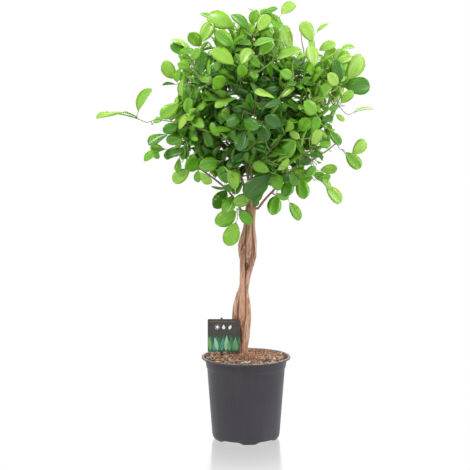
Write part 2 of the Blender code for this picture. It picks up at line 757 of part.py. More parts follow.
def main():
    for old in list(bpy.data.objects):
        bpy.data.objects.remove(old, do_unlink=True)
    pot_plastic = material("pot_plastic", (0.062, 0.060, 0.066), 0.5)
    bark_mix = material("bark_mix", (0.22, 0.12, 0.07), 0.95)
    bark = material("bark", (0.42, 0.27, 0.18), 0.85)
    twig_bark = material("twig_bark", (0.20, 0.13, 0.08), 0.8)
    old_leaf = material("old_leaf", (0.045, 0.16, 0.035), 0.4)
    young_leaf = material("young_leaf", (0.14, 0.36, 0.05), 0.4)
    card = material("label_print", (0.06, 0.055, 0.05), 0.45)
    stake_plastic = material("stake_plastic", (0.03, 0.03, 0.03), 0.5)

    build_pot(pot_plastic)
    soil = build_soil(bark_mix)
    stems, stem_seats, sockets = build_stems(bark)
    for socket in sockets:
        cut(soil, socket)
    build_card(card)
    _, slot = build_stake(stake_plastic)
    cut(soil, slot)
    branches, branch_seats = build_branches(twig_bark, stem_seats)
    solids = [tree for _, tree in stems + branches]
    build_sprays((old_leaf, young_leaf), branch_seats, solids)


main()
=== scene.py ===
"""The looks of a potted ficus: braided trunk, leafy crown, bark soil, pot and plant label."""

import json
import math
import random

import bmesh
import bpy
from mathutils import Euler, Matrix, Vector, noise
from mathutils.bvhtree import BVHTree

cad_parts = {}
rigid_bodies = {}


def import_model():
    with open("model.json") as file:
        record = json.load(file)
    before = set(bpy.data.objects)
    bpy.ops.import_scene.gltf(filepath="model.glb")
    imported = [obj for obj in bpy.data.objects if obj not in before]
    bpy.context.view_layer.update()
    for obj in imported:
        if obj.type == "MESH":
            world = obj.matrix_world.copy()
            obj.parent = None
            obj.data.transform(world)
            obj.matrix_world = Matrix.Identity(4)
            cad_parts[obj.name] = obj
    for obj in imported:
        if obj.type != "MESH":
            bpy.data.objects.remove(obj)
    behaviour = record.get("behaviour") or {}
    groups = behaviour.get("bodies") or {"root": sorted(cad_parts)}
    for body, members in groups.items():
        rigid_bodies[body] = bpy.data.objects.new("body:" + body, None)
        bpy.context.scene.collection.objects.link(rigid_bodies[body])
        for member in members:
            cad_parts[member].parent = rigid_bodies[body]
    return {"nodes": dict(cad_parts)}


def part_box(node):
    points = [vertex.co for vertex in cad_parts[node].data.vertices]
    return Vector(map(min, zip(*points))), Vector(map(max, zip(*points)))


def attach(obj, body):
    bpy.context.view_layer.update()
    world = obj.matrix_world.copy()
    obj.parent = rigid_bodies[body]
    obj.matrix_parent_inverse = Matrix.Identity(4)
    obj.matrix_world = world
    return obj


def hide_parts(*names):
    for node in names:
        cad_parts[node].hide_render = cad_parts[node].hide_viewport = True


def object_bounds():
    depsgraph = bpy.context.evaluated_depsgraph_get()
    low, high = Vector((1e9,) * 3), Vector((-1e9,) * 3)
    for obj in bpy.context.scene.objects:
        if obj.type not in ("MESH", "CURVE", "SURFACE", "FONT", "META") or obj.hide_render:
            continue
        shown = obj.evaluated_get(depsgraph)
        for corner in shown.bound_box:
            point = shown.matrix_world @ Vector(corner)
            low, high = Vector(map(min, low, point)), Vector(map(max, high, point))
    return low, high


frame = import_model()
cad_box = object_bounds()
scene = bpy.context.scene
UP = Vector((0.0, 0.0, 1.0))
MM = 0.001

# ------------------------------------------------------------------------ the studio
# A white floor that mirrors the pot a little, a white surround and three large soft
# lights.  The camera is low in front of the plant, far off, with a long lens.

CAMERA_PLACE = Vector((-0.026, -3.54, 0.88))
CAMERA_DOWN = math.radians(6.36)
CAMERA_LENS, CAMERA_SENSOR = 116.4, 36.0  # millimetres
FLOOR_SIDE = 14.0
MIRROR_NEAR, MIRROR_FAR = 0.08, 0.55  # between these the floor's mirror fades away
MIRROR_WHITE = 0.56  # share of plain white in the floor beside the pot
SURROUND_LIGHT = 0.64  # how strongly the white surround lights dull surfaces

camera_data = bpy.data.cameras.new("camera")
camera_data.lens = CAMERA_LENS
camera_data.sensor_width = CAMERA_SENSOR
camera = bpy.data.objects.new("camera", camera_data)
camera.location = CAMERA_PLACE
camera.rotation_euler = (math.radians(90) - CAMERA_DOWN, 0.0, 0.0)
scene.collection.objects.link(camera)
scene.camera = camera
scene.view_settings.view_transform = "Standard"


def add(tree, kind, inputs=None, **settings):
    """Add a node to a tree.  An input is a value, or another node's socket to link."""
    new = tree.nodes.new(kind)
    for key, value in settings.items():
        setattr(new, key, value)
    for key, value in (inputs or {}).items():
        if isinstance(value, bpy.types.NodeSocket):
            tree.links.new(value, new.inputs[key])
        else:
            new.inputs[key].default_value = value
    return new


def start_material(name, roughness):
    """A new material, with its node tree and its Principled shader."""
    material = bpy.data.materials.new(name)
    material.use_nodes = True
    tree = material.node_tree
    shader = tree.nodes["Principled BSDF"]
    shader.inputs["Roughness"].default_value = roughness
    return material, tree, shader


def put_in_scene(mesh, name, material=None, smooth=True):
    """A new object for a mesh, at the origin, with its place in the mesh."""
    if material:
        mesh.materials.clear()
        mesh.materials.append(material)
    mesh.polygons.foreach_set("use_smooth", [smooth] * len(mesh.polygons))
    piece = bpy.data.objects.new(name, mesh)
    scene.collection.objects.link(piece)
    return piece


floor_material, tree, shader = start_material("studio_floor", 0.16)
shader.inputs["Base Color"].default_value = (1.0, 1.0, 1.0, 1.0)
shader.inputs["Metallic"].default_value = 1.0
coords = add(tree, "ShaderNodeTexCoord")
away = add(tree, "ShaderNodeVectorMath", {0: coords.outputs["Object"]}, operation="LENGTH")
fade = add(tree, "ShaderNodeMapRange", {"Value": away.outputs["Value"], "From Min": MIRROR_NEAR,
                                        "From Max": MIRROR_FAR, "To Min": MIRROR_WHITE},
           interpolation_type="SMOOTHSTEP")
glow = add(tree, "ShaderNodeEmission", {"Color": (1.0, 1.0, 1.0, 1.0), "Strength": 1.0})
cove = add(tree, "ShaderNodeMixShader", {0: fade.outputs["Result"], 1: shader.outputs[0],
                                         2: glow.outputs[0]})
tree.links.new(cove.outputs[0], tree.nodes["Material Output"].inputs["Surface"])
floor_mesh = bpy.data.meshes.new("studio_floor")
half = 0.5 * FLOOR_SIDE
floor_z = cad_box[0][2] - 0.2 * MM
floor_mesh.from_pydata([(-half, -half, floor_z), (half, -half, floor_z),
                        (half, half, floor_z), (-half, half, floor_z)], [], [(0, 1, 2, 3)])
floor = put_in_scene(floor_mesh, "studio_floor", floor_material, smooth=False)

world = bpy.data.worlds.new("studio")
world.use_nodes = True
surround = world.node_tree.nodes["Background"]
surround.inputs["Color"].default_value = (1.0, 1.0, 1.0, 1.0)
ray = add(world.node_tree, "ShaderNodeLightPath").outputs
strength = add(world.node_tree, "ShaderNodeMapRange", {"Value": ray["Is Diffuse Ray"],
                                                       "To Min": 1.0, "To Max": SURROUND_LIGHT})
world.node_tree.links.new(strength.outputs["Result"], surround.inputs["Strength"])
scene.world = world


def soft_light(name, place, aim, side, power):
    """A square soft box that points at a place on the plant."""
    data = bpy.data.lights.new(name, "AREA")
    data.shape = "SQUARE"
    data.size = side
    data.energy = power
    lamp = bpy.data.objects.new(name, data)
    lamp.location = place
    lamp.rotation_euler = (Vector(aim) - Vector(place)).to_track_quat("-Z", "Y").to_euler()
    scene.collection.objects.link(lamp)


soft_light("key", (-1.4, -1.6, 3.0), (0.0, 0.0, 0.7), 0.9, 59.0)
soft_light("fill", (2.4, -0.6, 1.6), (0.0, 0.0, 0.5), 1.6, 37.0)
soft_light("back", (0.3, 1.8, 2.6), (0.0, 0.0, 0.7), 1.8, 60.0)

# --------------------------------------------------------------------------- the pot
# A thin nursery pot, injection moulded in charcoal polypropylene: a rolled lip, a
# collar, a plain tapered wall, and a rim of feet with drain notches between them.

POT_STEPS = 180
FEET = 5
FOOT_TURN = 360 / FEET  # degrees from one foot to the next
NOTCH_MIDDLE = 312 % FOOT_TURN  # degrees round to the middle of a notch
NOTCH_HALF = 15.0  # degrees from there to the slope that leads to the next foot
NOTCH_SLOPE = 11.0  # degrees along that slope
HOLES = 10
HOLE_STEPS = POT_STEPS // 60  # a drain hole is six degrees wide
HOLE_FROM = 4 * HOLE_STEPS
HOLE_UNDER, HOLE_FLOOR = 3, -2  # the rings that the holes start from, below and above
pot_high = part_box("pot")[1]
pot_top = pot_high.z


def notch_share(turn):
    """0 under a foot, 1 in the notch between two feet, with an eased slope between."""
    off = abs((math.degrees(turn) - NOTCH_MIDDLE + FOOT_TURN / 2) % FOOT_TURN - FOOT_TURN / 2)
    slope = min(max((NOTCH_HALF + NOTCH_SLOPE - off) / NOTCH_SLOPE, 0.0), 1.0)
    return slope * slope * (3 - 2 * slope)


def pot_profile():
    """(radius, height, lift in a notch) from the middle of the underside, round the
    outside and the lip, and down the inside to the middle of the floor."""
    rim, top = pot_high.x / MM, pot_top / MM
    lip, corner = top - 5, 1.7  # underside of the lip, and how far its corners are rounded
    line = [(25, 0, 0), (26.5, 1.2, 0), (28, 4.5, 0), (42, 4.5, 0), (50, 4.5, 0), (57, 4.5, 0),
            (59.3, 3.2, 1.3), (60.2, 0.6, 3.9), (61.5, 0, 4.5), (69, 0, 5), (72.6, 0.5, 4.8),
            (75.6, 2.2, 3.8), (77.9, 4.9, 2.2), (79.3, 8.2, 0.8), (80.1, 12, 0)]
    line += [(80.5 + 11.5 * step / 12, 16 + 154 * step / 12, 0) for step in range(13)]
    line += [(92.3, 170.9, 0), (93.1, 171.5, 0), (93.6, 172.6, 0), (95.1, 181, 0),
             (96.6, lip - 2.5, 0), (97.2, lip - 0.9, 0), (98.6, lip - 0.2, 0)]
    for middle, first in ((lip + corner, -90), (top - corner, 0)):
        for degrees in range(first, first + 91, 18):
            turn = math.radians(degrees)
            line.append((rim - corner + corner * math.cos(turn),
                         middle + corner * math.sin(turn), 0))
    line += [(100.9, top - 0.1, 0), (99.6, top - 0.7, 0), (98.6, top - 2.0, 0),
             (97.4, top - 3.6, 0), (95.4, top - 6, 0), (91.8, 172, 0), (90.3, 170, 0),
             (78.7, 16, 0), (76.4, 9.6, 0), (70, 6.5, 0), (50, 6.5, 0), (42, 6.5, 0)]
    return [(radius * MM, height * MM, lift * MM) for radius, height, lift in line]


pot_bm = bmesh.new()
pot_rings = []
for radius, z, lift in pot_profile():
    ring = []
    for step in range(POT_STEPS):
        turn = 2 * math.pi * step / POT_STEPS
        height = z + lift * notch_share(turn)
        ring.append(pot_bm.verts.new((radius * math.cos(turn), radius * math.sin(turn), height)))
    pot_rings.append(ring)
hole_steps = {HOLE_FROM + hole * POT_STEPS // HOLES + step for hole in range(HOLES)
              for step in range(HOLE_STEPS)}
under_in, under_out = pot_rings[HOLE_UNDER], pot_rings[HOLE_UNDER + 1]
over_out, over_in = pot_rings[HOLE_FLOOR], pot_rings[HOLE_FLOOR + 1]
for first, second in zip(pot_rings, pot_rings[1:]):
    pierced = first is under_in or first is over_out
    for step in range(POT_STEPS):
        after = (step + 1) % POT_STEPS
        if not (pierced and step in hole_steps):
            pot_bm.faces.new((first[step], first[after], second[after], second[step]))
for step in hole_steps:
    after = (step + 1) % POT_STEPS
    pot_bm.faces.new((under_in[step], under_in[after], over_in[after], over_in[step]))
    pot_bm.faces.new((over_out[step], over_out[after], under_out[after], under_out[step]))
    if (step - 1) % POT_STEPS not in hole_steps:
        pot_bm.faces.new((under_out[step], under_in[step], over_in[step], over_out[step]))
    if after not in hole_steps:
        pot_bm.faces.new((under_in[after], under_out[after], over_out[after], over_in[after]))
pot_bm.faces.new(reversed(pot_rings[0]))
pot_bm.faces.new(pot_rings[-1])
bmesh.ops.recalc_face_normals(pot_bm, faces=pot_bm.faces)
pot_mesh = bpy.data.meshes.new("pot_shell")
pot_bm.to_mesh(pot_mesh)
pot_bm.free()


def make_mottle():
    """Node group: soft patches over a surface, as a mask from 0 to 1."""
    group = bpy.data.node_groups.new("Mottle", "ShaderNodeTree")
    sockets = (("Vector", "NodeSocketVector"), ("Scale", "NodeSocketFloat"),
               ("Detail", "NodeSocketFloat"), ("From", "NodeSocketFloat"),
               ("To", "NodeSocketFloat"))
    for label, kind in sockets:
        group.interface.new_socket(name=label, in_out="INPUT", socket_type=kind)
    group.interface.new_socket(name="Mask", in_out="OUTPUT", socket_type="NodeSocketFloat")
    given = add(group, "NodeGroupInput").outputs
    patches = add(group, "ShaderNodeTexNoise", {"Vector": given["Vector"], "Scale": given["Scale"],
                                                "Detail": given["Detail"], "Roughness": 0.6})
    spread = add(group, "ShaderNodeMapRange", {"Value": patches.outputs["Fac"],
                                               "From Min": given["From"], "From Max": given["To"]})
    add(group, "NodeGroupOutput", {"Mask": spread.outputs["Result"]})
    return group


MOTTLE = make_mottle()


def mottle(tree, vector, scale, low, high, detail=4.0):
    """Place the Mottle group in a material, and give back its mask."""
    patches = add(tree, "ShaderNodeGroup", node_tree=MOTTLE)
    for label, value in (("Scale", scale), ("Detail", detail), ("From", low), ("To", high)):
        patches.inputs[label].default_value = value
    tree.links.new(vector, patches.inputs["Vector"])
    return patches.outputs["Mask"]


def object_coords(tree, stretch=(1.0, 1.0, 1.0)):
    """Object coordinates in metres, stretched along the axes."""
    coords = add(tree, "ShaderNodeTexCoord")
    placed = add(tree, "ShaderNodeMapping", {"Vector": coords.outputs["Object"], "Scale": stretch})
    return placed.outputs["Vector"]


def blend_colours(tree, share, first, second):
    """Mix two colours, each a value or a socket, by a mask."""
    mix = add(tree, "ShaderNodeMix", data_type="RGBA")
    for place, value in ((6, first), (7, second)):
        if isinstance(value, bpy.types.NodeSocket):
            tree.links.new(value, mix.inputs[place])
        else:
            mix.inputs[place].default_value = (*value, 1.0)
    tree.links.new(share, mix.inputs[0])
    return mix.outputs[2]


def bump(tree, height, distance, strength=1.0, normal=None):
    """Relief from a height, passed on from a normal if there is one."""
    relief = add(tree, "ShaderNodeBump", {"Height": height, "Distance": distance,
                                          "Strength": strength})
    if normal:
        tree.links.new(normal, relief.inputs["Normal"])
    return relief.outputs["Normal"]


def scaled(tree, value, low, high):
    """A mask stretched to run from low to high."""
    spread = add(tree, "ShaderNodeMapRange", {"Value": value, "To Min": low, "To Max": high})
    return spread.outputs["Result"]


pot_material, tree, shader = start_material("pot_plastic", 0.45)
shader.inputs["Specular IOR Level"].default_value = 0.28
even = object_coords(tree)
drawn = object_coords(tree, (1.0, 1.0, 0.06))
flow = mottle(tree, drawn, 60.0, 0.3, 0.7)
cloud = mottle(tree, even, 14.0, 0.35, 0.75)
plastic = blend_colours(tree, flow, (0.034, 0.032, 0.041), (0.044, 0.041, 0.051))
plastic = blend_colours(tree, scaled(tree, cloud, 0.0, 0.5), plastic, (0.054, 0.049, 0.057))
heights = add(tree, "ShaderNodeSeparateXYZ", {"Vector": even})
near_rim = add(tree, "ShaderNodeMapRange", {"Value": heights.outputs["Z"],
                                            "From Min": pot_top - 22 * MM, "From Max": pot_top})
specks = mottle(tree, even, 420.0, 0.60, 0.72, 2.0)
dust = add(tree, "ShaderNodeMath", {0: near_rim.outputs["Result"], 1: specks},
           operation="MULTIPLY")
plastic = blend_colours(tree, dust.outputs[0], plastic, (0.24, 0.17, 0.12))
# A pale band round the top of the lip: partly wear and dust, partly a painted highlight where the
# lip's rounded top catches the light.
lip_top = add(tree, "ShaderNodeMapRange", {"Value": heights.outputs["Z"],
                                           "From Min": pot_top - 2.4 * MM,
                                           "From Max": pot_top - 0.9 * MM})
lip_patches = scaled(tree, mottle(tree, even, 70.0, 0.40, 0.62), 0.20, 0.75)
lip_wear_and_highlight = add(tree, "ShaderNodeMath", {0: lip_top.outputs["Result"], 1: lip_patches},
           operation="MULTIPLY")
plastic = blend_colours(tree, lip_wear_and_highlight.outputs[0], plastic, (0.36, 0.28, 0.23))
tree.links.new(plastic, shader.inputs["Base Color"])
tree.links.new(scaled(tree, cloud, 0.38, 0.52), shader.inputs["Roughness"])
grain = mottle(tree, even, 1400.0, 0.2, 0.8, 2.0)
relief = bump(tree, flow, 0.10 * MM, 0.5, bump(tree, grain, 0.05 * MM, 0.6))
tree.links.new(relief, shader.inputs["Normal"])

pot = put_in_scene(pot_mesh, "pot_shell", pot_material)
pot_mesh.set_sharp_from_angle(angle=math.radians(50))
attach(pot, "root")
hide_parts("pot")

# -------------------------------------------------------------------------- the soil
# Coarse bark and coir, filled almost to the rim and a little mounded round the trunk,
# where a fibrous plug of coir shows.  Loose chips lie on top, two of them on the lip.

SOIL_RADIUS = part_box("soil")[1].x - 0.4 * MM
SOIL_EDGE_Z = pot_top - 2.5 * MM
SOIL_MOUND = 7.0 * MM
SOIL_SKIRT = 16 * MM  # how far the soil's edge goes down, out of sight
SOIL_RINGS, SOIL_STEPS = 44, 128
PLUG_MIDDLE = Vector((0.004, -0.030, 0.0))
PLUG_REACH = Vector((0.024, 0.034, 0.0))
PLUG_HEIGHT = 6.5 * MM


def soil_height(x, y):
    """Height of the soil's surface: the mound, the coir plug and small lumps."""
    out = min(math.hypot(x, y) / SOIL_RADIUS, 1.0)
    lump = noise.noise(Vector((x * 60, y * 60, 1.7))) * 2.2 * MM
    lump += noise.noise(Vector((x * 190, y * 190, 5.1))) * 1.3 * MM
    plug = Vector(((x - PLUG_MIDDLE.x) / PLUG_REACH.x, (y - PLUG_MIDDLE.y) / PLUG_REACH.y)).length
    plug = max(1 - plug * plug, 0.0) * PLUG_HEIGHT
    return SOIL_EDGE_Z + SOIL_MOUND * (1 - out * out) + lump * (1 - 0.6 * out) + plug


def surface_rings(bm, reach, rings, steps, lift):
    """Rings of vertices from the middle of the soil out, lifted from its surface."""
    made = []
    for number in range(1, rings + 1):
        radius = reach * number / rings
        made.append([])
        for step in range(steps):
            turn = 2 * math.pi * step / steps
            x, y = radius * math.cos(turn), radius * math.sin(turn)
            made[-1].append(bm.verts.new((x, y, soil_height(x, y) + lift)))
    return made


soil_bm = bmesh.new()
soil_rings = surface_rings(soil_bm, SOIL_RADIUS, SOIL_RINGS, SOIL_STEPS, 0.0)
foot = [soil_bm.verts.new((vert.co.x * 0.97, vert.co.y * 0.97, SOIL_EDGE_Z - SOIL_SKIRT))
        for vert in soil_rings[-1]]
soil_rings.append(foot)
middle = soil_bm.verts.new((0.0, 0.0, soil_height(0.0, 0.0)))
for step in range(SOIL_STEPS):
    after = (step + 1) % SOIL_STEPS
    soil_bm.faces.new((middle, soil_rings[0][step], soil_rings[0][after]))
    for first, second in zip(soil_rings, soil_rings[1:]):
        soil_bm.faces.new((first[step], second[step], second[after], first[after]))
soil_bm.faces.new(reversed(foot))
soil_mesh = bpy.data.meshes.new("soil_mound")
soil_bm.to_mesh(soil_mesh)
soil_bm.free()

soil_material, tree, shader = start_material("soil_fines", 0.95)
even = object_coords(tree)
crumbs = mottle(tree, even, 240.0, 0.35, 0.70, 6.0)
damp = mottle(tree, even, 30.0, 0.35, 0.65)
fines = blend_colours(tree, crumbs, (0.020, 0.010, 0.006), (0.20, 0.10, 0.055))
fines = blend_colours(tree, scaled(tree, damp, 0.0, 0.6), fines, (0.075, 0.038, 0.022))
tree.links.new(fines, shader.inputs["Base Color"])
tree.links.new(bump(tree, crumbs, 1.2 * MM), shader.inputs["Normal"])

soil = put_in_scene(soil_mesh, "soil_mound", soil_material)
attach(soil, "root")
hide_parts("soil")


def start_geometry_tree(name, inputs):
    """A Geometry Nodes tree with a Geometry input and output, and the named inputs."""
    group = bpy.data.node_groups.new(name, "GeometryNodeTree")
    group.interface.new_socket(name="Geometry", in_out="INPUT", socket_type="NodeSocketGeometry")
    for label, kind in inputs:
        group.interface.new_socket(name=label, in_out="INPUT", socket_type=kind)
    group.interface.new_socket(name="Geometry", in_out="OUTPUT", socket_type="NodeSocketGeometry")
    return group, add(group, "NodeGroupInput").outputs


def run_geometry_tree(base, group, values, name):
    """Run a tree on an object, and give back the result as a plain mesh."""
    modifier = base.modifiers.new(group.name, "NODES")
    modifier.node_group = group
    for item in group.interface.items_tree:
        if item.in_out == "INPUT" and item.name in values:
            modifier[item.identifier] = values[item.name]
    view_layer = bpy.context.evaluated_depsgraph_get()
    mesh = bpy.data.meshes.new_from_object(base.evaluated_get(view_layer),
                                           preserve_all_data_layers=True, depsgraph=view_layer)
    mesh.name = name
    base.modifiers.remove(modifier)
    return mesh


def chip_shape(number):
    """A splinter of bark: the hull of a few points in a flat box, 1 unit long."""
    rng = random.Random(30 + number)
    bm = bmesh.new()
    wide, thick = rng.uniform(0.35, 0.75), rng.uniform(0.14, 0.30)
    for _ in range(13):
        point = Vector((rng.uniform(-1, 1), rng.uniform(-1, 1), rng.uniform(-1, 1)))
        point.normalize()
        bm.verts.new((0.5 * point.x, 0.5 * wide * point.y, 0.5 * thick * point.z))
    hull = bmesh.ops.convex_hull(bm, input=bm.verts)
    inner = [item for item in hull["geom_interior"] if isinstance(item, bmesh.types.BMVert)]
    bmesh.ops.delete(bm, geom=inner, context="VERTS")
    mesh = bpy.data.meshes.new(f"chip_shape_{number}")
    bm.to_mesh(mesh)
    bm.free()
    return mesh


def hidden_collection(name, meshes):
    """The shapes that a tree copies, in a collection of their own."""
    collection = bpy.data.collections.new(name)
    for mesh in meshes:
        collection.objects.link(bpy.data.objects.new(mesh.name, mesh))
    return collection


def forget(collection):
    """Remove the shapes once their copies are made."""
    for shape in list(collection.objects):
        bpy.data.objects.remove(shape, do_unlink=True)
    bpy.data.collections.remove(collection)


CHIP_INPUTS = (("Shapes", "NodeSocketCollection"), ("Spacing", "NodeSocketFloat"),
               ("Density", "NodeSocketFloat"), ("Smallest", "NodeSocketFloat"),
               ("Largest", "NodeSocketFloat"), ("Tilt", "NodeSocketFloat"),
               ("Seed", "NodeSocketInt"), ("Material", "NodeSocketMaterial"))


def chip_tree():
    """Scatter chips over a surface, each turned, tilted and sized by chance."""
    group, given = start_geometry_tree("Scatter chips", CHIP_INPUTS)
    spots = add(group, "GeometryNodeDistributePointsOnFaces",
                {"Mesh": given["Geometry"], "Distance Min": given["Spacing"],
                 "Density Max": given["Density"], "Seed": given["Seed"]},
                distribute_method="POISSON")
    shapes = add(group, "GeometryNodeCollectionInfo",
                 {"Collection": given["Shapes"], "Separate Children": True, "Reset Children": True})
    size = add(group, "FunctionNodeRandomValue", {2: given["Smallest"], 3: given["Largest"],
                                                  "Seed": given["Seed"]})
    tilt_down = add(group, "ShaderNodeMath", {0: given["Tilt"], 1: -1.0}, operation="MULTIPLY")
    low = add(group, "ShaderNodeCombineXYZ", {0: tilt_down.outputs[0], 1: tilt_down.outputs[0]})
    high = add(group, "ShaderNodeCombineXYZ", {0: given["Tilt"], 1: given["Tilt"], 2: 2 * math.pi})
    turn = add(group, "FunctionNodeRandomValue", {0: low.outputs[0], 1: high.outputs[0],
                                                  "Seed": given["Seed"]}, data_type="FLOAT_VECTOR")
    turned = add(group, "FunctionNodeEulerToRotation", {0: turn.outputs[0]})
    tone = add(group, "FunctionNodeRandomValue", {2: 0.0, 3: 1.0, "Seed": given["Seed"]})
    toned = add(group, "GeometryNodeStoreNamedAttribute",
                {"Geometry": spots.outputs["Points"], "Name": "tone", "Value": tone.outputs[1]})
    copies = add(group, "GeometryNodeInstanceOnPoints",
                 {"Points": toned.outputs[0], "Instance": shapes.outputs[0], "Pick Instance": True,
                  "Rotation": turned.outputs[0], "Scale": size.outputs[1]})
    real = add(group, "GeometryNodeRealizeInstances", {0: copies.outputs[0]})
    dressed = add(group, "GeometryNodeSetMaterial", {"Geometry": real.outputs[0],
                                                     "Material": given["Material"]})
    add(group, "NodeGroupOutput", {0: dressed.outputs[0]})
    return group


def kept_value(tree, name):
    """What a mesh keeps at each of its points under a name."""
    return add(tree, "ShaderNodeAttribute", attribute_name=name).outputs["Fac"]


def colour_ramp(tree, value, stops):
    """The colour for a value, from stops that are in order and run from 0 to 1."""
    ramp = add(tree, "ShaderNodeValToRGB", {"Fac": value})
    ramp.color_ramp.elements[0].color = (*stops[0][1], 1.0)
    ramp.color_ramp.elements[1].color = (*stops[-1][1], 1.0)
    for place, colour in stops[1:-1]:
        ramp.color_ramp.elements.new(place).color = (*colour, 1.0)
    return ramp.outputs["Color"]


chip_material, tree, shader = start_material("bark_chips", 0.85)
chip_colour = colour_ramp(tree, kept_value(tree, "tone"), (
    (0.0, (0.030, 0.014, 0.009)), (0.25, (0.10, 0.045, 0.025)), (0.5, (0.23, 0.118, 0.066)),
    (0.72, (0.39, 0.235, 0.145)), (0.90, (0.55, 0.385, 0.27)), (1.0, (0.86, 0.73, 0.62))))
fibre = mottle(tree, object_coords(tree, (1.0, 0.25, 1.0)), 900.0, 0.3, 0.7)
chip_colour = blend_colours(tree, scaled(tree, fibre, 0.0, 0.45), chip_colour,
                            (0.11, 0.055, 0.03))
tree.links.new(chip_colour, shader.inputs["Base Color"])
tree.links.new(bump(tree, fibre, 0.4 * MM), shader.inputs["Normal"])

CHIP_KINDS = 9
GROUND_RINGS, GROUND_STEPS = 20, 48
chip_shapes = hidden_collection("chip_shapes", [chip_shape(number)
                                                for number in range(CHIP_KINDS)])
scatter = chip_tree()
ground_bm = bmesh.new()
ground_rings = surface_rings(ground_bm, SOIL_RADIUS - 2.5 * MM, GROUND_RINGS, GROUND_STEPS,
                             0.4 * MM)
ground_bm.faces.new(ground_rings[0])
for first, second in zip(ground_rings, ground_rings[1:]):
    for step in range(GROUND_STEPS):
        after = (step + 1) % GROUND_STEPS
        ground_bm.faces.new((first[step], second[step], second[after], first[after]))
ground_mesh = bpy.data.meshes.new("chip_ground")
ground_bm.to_mesh(ground_mesh)
ground_bm.free()
ground = put_in_scene(ground_mesh, "chip_ground")
for name, spacing, smallest, largest, tilt, seed in (
        ("bark_chips", 4.2 * MM, 7 * MM, 15 * MM, 0.45, 3),
        ("bark_crumbs", 2.6 * MM, 3 * MM, 6.5 * MM, 0.7, 8)):
    chips_mesh = run_geometry_tree(ground, scatter, {
        "Shapes": chip_shapes, "Spacing": spacing, "Density": 90000.0, "Smallest": smallest,
        "Largest": largest, "Tilt": tilt, "Seed": seed, "Material": chip_material}, name)
    chips = put_in_scene(chips_mesh, name, chip_material, smooth=False)
    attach(chips, "root")
    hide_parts("soil")
bpy.data.objects.remove(ground, do_unlink=True)

# Chips against the rim: the shape, place, size, turn and tone of each.  The first three
# are pale and lie on the lip.
EDGE_CHIPS = 64
edge_chips = [(2, (-0.066, -0.0765, pot_top + 1.6 * MM), 17 * MM, (0.3, 0.25, 0.5), 0.90),
              (5, (-0.006, -0.0955, pot_top + 1.7 * MM), 19 * MM, (0.2, 0.2, 2.6), 1.0),
              (1, (0.002, -0.0870, pot_top + 1.2 * MM), 14 * MM, (0.4, 0.1, 1.2), 1.0)]
rng = random.Random(9)
for number in range(EDGE_CHIPS):
    turn = 2 * math.pi * (number + rng.uniform(-0.35, 0.35)) / EDGE_CHIPS
    size = rng.uniform(6.5, 13) * MM
    out = 98.4 * MM - 0.5 * size
    place = (out * math.cos(turn), out * math.sin(turn), pot_top - rng.uniform(0.8, 3.0) * MM)
    edge_chips.append((rng.randrange(CHIP_KINDS), place, size,
                       (rng.uniform(-0.4, 0.4), rng.uniform(-0.4, 0.4), rng.uniform(0, 6.28)),
                       rng.uniform(0.15, 0.95)))
lip_chips = bmesh.new()
chip_tones = []
for number, place, size, turn, shade in edge_chips:
    shape = chip_shapes.objects[number].data.copy()
    shape.transform(Matrix.LocRotScale(Vector(place), Euler(turn), Vector((size,) * 3)))
    lip_chips.from_mesh(shape)
    chip_tones += [shade] * len(shape.vertices)
lip_mesh = bpy.data.meshes.new("edge_chips")
lip_chips.to_mesh(lip_mesh)
lip_chips.free()
tones = lip_mesh.attributes.new("tone", "FLOAT", "POINT")
tones.data.foreach_set("value", chip_tones)
lip_piece = put_in_scene(lip_mesh, "edge_chips", chip_material, smooth=False)
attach(lip_piece, "root")
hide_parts("soil")
forget(chip_shapes)


def thread_tree():
    """Turn lines into round threads, as thick as their points say."""
    group, given = start_geometry_tree("Threads", (("Sides", "NodeSocketInt"),
                                                   ("Material", "NodeSocketMaterial")))
    lines = add(group, "GeometryNodeMeshToCurve", {"Mesh": given["Geometry"]})
    thick = add(group, "GeometryNodeInputNamedAttribute", {"Name": "thick"}, data_type="FLOAT")
    ring = add(group, "GeometryNodeCurvePrimitiveCircle", {"Resolution": given["Sides"],
                                                           "Radius": 1.0})
    tube = add(group, "GeometryNodeCurveToMesh", {"Curve": lines.outputs[0],
                                                  "Profile Curve": ring.outputs[0],
                                                  "Scale": thick.outputs[0], "Fill Caps": True})
    real = add(group, "GeometryNodeRealizeInstances", {0: tube.outputs[0]})
    dressed = add(group, "GeometryNodeSetMaterial", {"Geometry": real.outputs[0],
                                                     "Material": given["Material"]})
    add(group, "NodeGroupOutput", {0: dressed.outputs[0]})
    return group


THREADS = thread_tree()


def threads(name, lines, sides, material, tones=None):
    """A mesh of round threads.  Each line is a list of (point, radius) pairs."""
    points, edges, thick, shade = [], [], [], []
    for number, line in enumerate(lines):
        for step, (point, radius) in enumerate(line):
            if step:
                edges.append((len(points) - 1, len(points)))
            points.append(point)
            thick.append(radius)
            shade.append(tones[number] if tones else 0.5)
    mesh = bpy.data.meshes.new(name + "_lines")
    mesh.from_pydata(points, edges, [])
    mesh.attributes.new("thick", "FLOAT", "POINT").data.foreach_set("value", thick)
    mesh.attributes.new("tone", "FLOAT", "POINT").data.foreach_set("value", shade)
    base = bpy.data.objects.new(name + "_lines", mesh)
    scene.collection.objects.link(base)
    result = run_geometry_tree(base, THREADS, {"Sides": sides, "Material": material}, name)
    bpy.data.objects.remove(base, do_unlink=True)
    return result


FIBRES, PLUG_FIBRES = 620, 430  # in all, and how many of them lie on the plug
FIBRE_STEPS = 5

fibre_material, tree, shader = start_material("coir_fibres", 0.8)
coir = blend_colours(tree, kept_value(tree, "tone"), (0.22, 0.085, 0.035), (0.62, 0.33, 0.18))
strand = mottle(tree, object_coords(tree), 700.0, 0.3, 0.7)
coir = blend_colours(tree, scaled(tree, strand, 0.0, 0.4), coir, (0.16, 0.07, 0.04))
tree.links.new(coir, shader.inputs["Base Color"])

